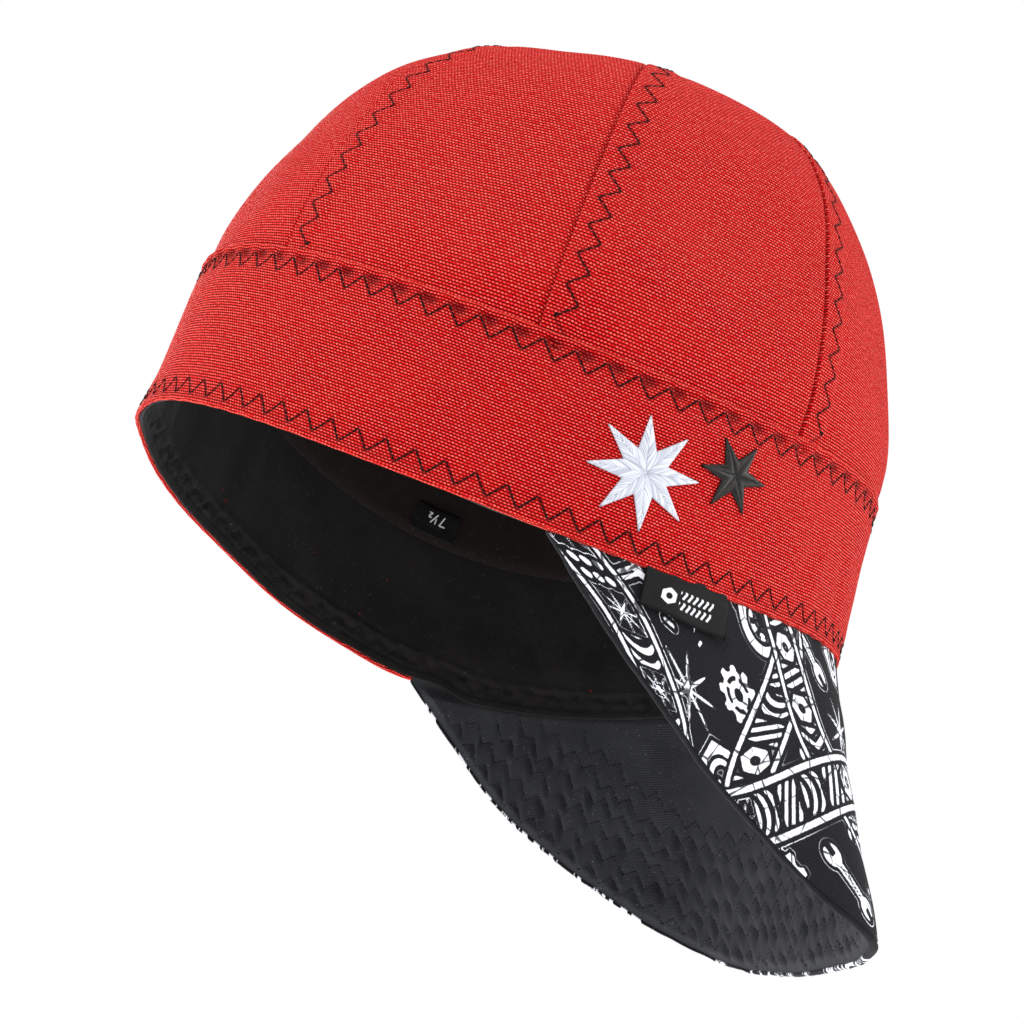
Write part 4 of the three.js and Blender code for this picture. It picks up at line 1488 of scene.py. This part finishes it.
def tab_gap(x, y):
    """Woven marks on the tab: a small nut at the left, and two rows of little chevrons beside it."""
    nut = np.maximum(hexagon_gap(x + 5.6, y + 0.6, 2.0), 0.9 - np.hypot(x + 5.6, y + 0.6))
    place = np.mod(x + np.abs(np.mod(y, 2.9) - 1.45) * 0.55, 1.7) - 0.85
    rows = np.maximum(np.abs(place) - 0.36, np.abs(np.abs(y + 0.6) - 1.45) - 1.05)
    rows = np.maximum(rows, np.abs(x - 2.6) - 5.2)
    return np.minimum(nut, rows)


def loose_threads(material):
    """A few frayed ends at the tab's lower right corner: thin curved lines that hang and bend."""
    draw = np.random.default_rng(5)
    share = np.linspace(0, 1, 9)
    lines = []
    for _ in range(FRAYED_ENDS):
        angle = TAB_TO - math.radians(draw.uniform(0.1, 1.1)) + math.radians(draw.uniform(0.4, 2.4)) * share
        down = TAB_DROP - draw.uniform(0.4, 2.0) + draw.uniform(0.8, 3.4) * share ** 1.4
        height = 0.9 + 0.5 * np.sin(math.pi * share) - 0.4 * share
        lines.append(lifted(bill_face, angle, bill_length(angle) - down, height))
    lines = np.array(lines)
    normals = np.tile(outwards(bill_face, TAB_TO, bill_length(TAB_TO) - TAB_DROP), (len(lines), 1))
    piece = threads("loose_threads", lines, normals, 0.09)
    return dress(piece, material, "black_thread")


def digit_gap(x, y):
    """Plain size number, drawn from strokes: a seven, then a one over a two set small."""
    half = 0.17
    strokes = [(-2.9, 1.3, -1.3, 1.3), (-1.3, 1.3, -2.2, -1.3), (0.1, 1.3, 0.1, 0.0), (0.0, -1.3, 1.5, 1.3),
               (1.7, -1.3, 2.6, -1.3), (1.7, -1.3, 2.5, -0.3), (2.5, -0.3, 2.3, 0.1), (2.3, 0.1, 1.8, 0.0)]
    return np.minimum.reduce([line_gap(x, y, *stroke, half) for stroke in strokes])


def woven_size_label(material):
    """Small label inside the cap, sewn in at the lining's seam and lying on the dome: a thin closed slab
    that follows the dome upwards, with a plain number."""
    angle = np.linspace(LABEL_FROM, LABEL_TO, LABEL_COLUMNS)[:, None]
    middle = angle.mean()
    depth = CANVAS_WALL + GAP + LINING_WALL + 0.7
    share_per_mm = 1 / (8 * CROWN_RISE[1] * (CAP_HEIGHT - BAND_HEIGHT - rim_height(angle)))
    curl = 0.35 * ((angle - middle) / (angle[-1] - middle)) ** 2

    def layer(rows, extra):
        """Rows at heights above the seam: those above it follow the dome, the others hang straight down."""
        place = lifted(crown_face, angle, np.maximum(rows, 0) * share_per_mm, -(depth + extra))
        level = BAND_HEIGHT + rim_height(angle) + np.minimum(rows, 0)
        place[..., 2] = np.where(rows <= 0, level, place[..., 2])
        return place

    back_rows = np.linspace(-LINING_LAP, LABEL_RISE, 8)
    rows = np.linspace(LABEL_RISE, -LINING_LAP, LABEL_ROWS)
    front = layer(rows, 0.55 + curl * ease(rows, 0, 5))
    sections = np.concatenate([layer(back_rows, 0.0), front], axis=1)
    length = rim_length(angle)
    ink = digit_gap((length - rim_length(middle)) * NUMBER_SCALE, (2.7 - rows) * NUMBER_SCALE)
    rest = np.full((LABEL_COLUMNS, len(back_rows)), NO_PRINT)
    marks = {"print_gap": np.concatenate([rest, ink], axis=1)}
    piece = wall("woven_size_label", sections, length[:, 0], False, marks)
    return dress(piece, material, "woven_label", "size_label")


def satin_pad(name, place, radius, rays, waist, tilt):
    """Low pad under a star's threads: its outline a little drawn in, and rings inside it that rise by steps
    to the middle. place gives the points of the band at such places."""
    turns = np.linspace(0, TURN, 2 * rays * 12 + 1)
    half_turn = math.pi / rays
    local = np.abs(np.mod(turns[:-1] * rays / TURN + 0.5, 1) - 0.5) * 2 * half_turn
    tip, notch = radius * 0.985, radius * waist * 0.985
    outline = tip * notch * math.sin(half_turn) / (tip * np.sin(local) + notch * np.sin(half_turn - local))
    steps = np.array([1.0, 0.985, 0.93, 0.8, 0.6, 0.4, 0.2, 0.0])
    levels = np.array([-0.05, 0.14, 0.28, 0.36, 0.42, 0.45, 0.46, 0.46])
    reach = outline[:, None] * steps
    way = (turns[:-1] + math.radians(tilt))[:, None]
    x, y = reach * np.cos(way), reach * np.sin(way)
    sections = np.concatenate([place(x, y, levels), place(x[:, ::-1], y[:, ::-1], -0.25)], axis=1)
    flat = np.ones(sections.shape[:2])
    pad = wall(name, sections, turns, True, {"thread_share": 0.5 * flat, "thread_tone": 0.6 * flat})
    close_poles(pad)
    return pad


def satin_star(name, turn, height, radius, rays, waist, tilt, material, slot, node):
    """Star of satin stitch on the band. Each ray is two halves, from its middle line to an edge, filled
    with threads side by side that arch from the middle to the edge, and a low pad lies beneath."""
    centre = math.radians(turn)
    nudge = 1e-4
    pair = band_face(np.array([centre - nudge, centre + nudge]), np.array([height, height]))
    per_angle = np.linalg.norm(pair[1] - pair[0]) / (2 * nudge)

    def place(x, y, lift):
        """Points of the band at a place in millimetres from the star's middle, lifted off its cloth."""
        angle, up = centre + x / per_angle, height + y
        return lifted(band_face, angle, up, band_height_at(angle, up) + lift)

    rows = []
    shares = np.linspace(0, 1, 7)
    arch = 0.75 * np.sin(math.pi * (0.12 + 0.80 * shares)) ** 0.7
    count = int(radius / 0.34)
    part = (np.arange(count) + 0.5)[:, None] / count
    for k in range(2 * rays):
        ray = (k // 2) * TURN / rays + math.radians(tilt)
        edge_turn = ray + (1 if k % 2 else -1) * math.pi / rays
        tip = np.array([math.cos(ray), math.sin(ray)]) * radius
        notch = np.array([math.cos(edge_turn), math.sin(edge_turn)]) * radius * waist
        spine = tip * (0.02 + 0.95 * part)
        edge = notch + (tip - notch) * np.clip(part * 1.12 - 0.06, 0, 1)
        line = spine[:, None] + (edge - spine)[:, None] * shares[:, None]
        x, y = line[..., 0], line[..., 1]
        normals = outwards(band_face, centre + x[:, 3] / per_angle, height + y[:, 3])
        rows.append((place(x, y, arch * (1 - 0.45 * part ** 3)), normals))
    dress(sew(name + "_satin", rows, 0.21), material, slot, node)
    return dress(satin_pad(name + "_pad", place, radius, rays, waist, tilt), material, slot)


# Putting the cap together

def main():
    """Makes every piece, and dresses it."""
    gore_cloth = red_canvas("red_canvas_gore", [SEAM_ROW])
    band_cloth = red_canvas("red_canvas_band", [TOP_ROW, RIM_ROW], round_rim=True)
    lining_cloth = black_twill("black_lining", rgb(10, 9, 8), rgb(31, 29, 28), specks=0.8)
    dome_cloth = black_twill("brown_black_lining", rgb(11, 7, 6), rgb(30, 23, 20), row=0.42)
    padding_cloth = black_twill("quilted_twill", rgb(17, 18, 19), rgb(49, 50, 53), row=0.40, lint=0.30)
    print_cloth = printed_cotton("printed_cotton")
    label_cloth = woven_label("woven_label")
    sewing = glossy_thread("sewing_thread", rgb(2, 2, 2), rgb(10, 8, 8), 0.7, 0.08)
    white_satin = glossy_thread("white_satin_thread", rgb(150, 154, 168), rgb(216, 219, 228), 0.45, 0.3)
    black_satin = glossy_thread("black_satin_thread", rgb(3, 3, 3), rgb(30, 26, 23), 0.4, 0.25)

    for index in range(PANELS):
        gore(index, gore_cloth)
    dress(crown_stitching(), sewing, "black_thread")
    canvas_band(band_cloth)
    dress(band_stitching(), sewing, "black_thread")
    lining_band(lining_cloth)
    dress(lining_stitching(), sewing, "black_thread")
    lining_dome(dome_cloth)
    printed_cover(print_cloth)
    quilted_underside(padding_cloth)
    dress(quilt_stitching(), sewing, "black_thread")
    folded_tab(label_cloth)
    loose_threads(sewing)
    woven_size_label(label_cloth)
    satin_star("light_star", -78, 21.5, 14.5, 8, 0.42, 11, white_satin, "white_thread", "embroidery_light")
    satin_star("dark_star", -64.5, 29.5, 10, 6, 0.4, 4, black_satin, "black_thread", "embroidery_dark")


main()
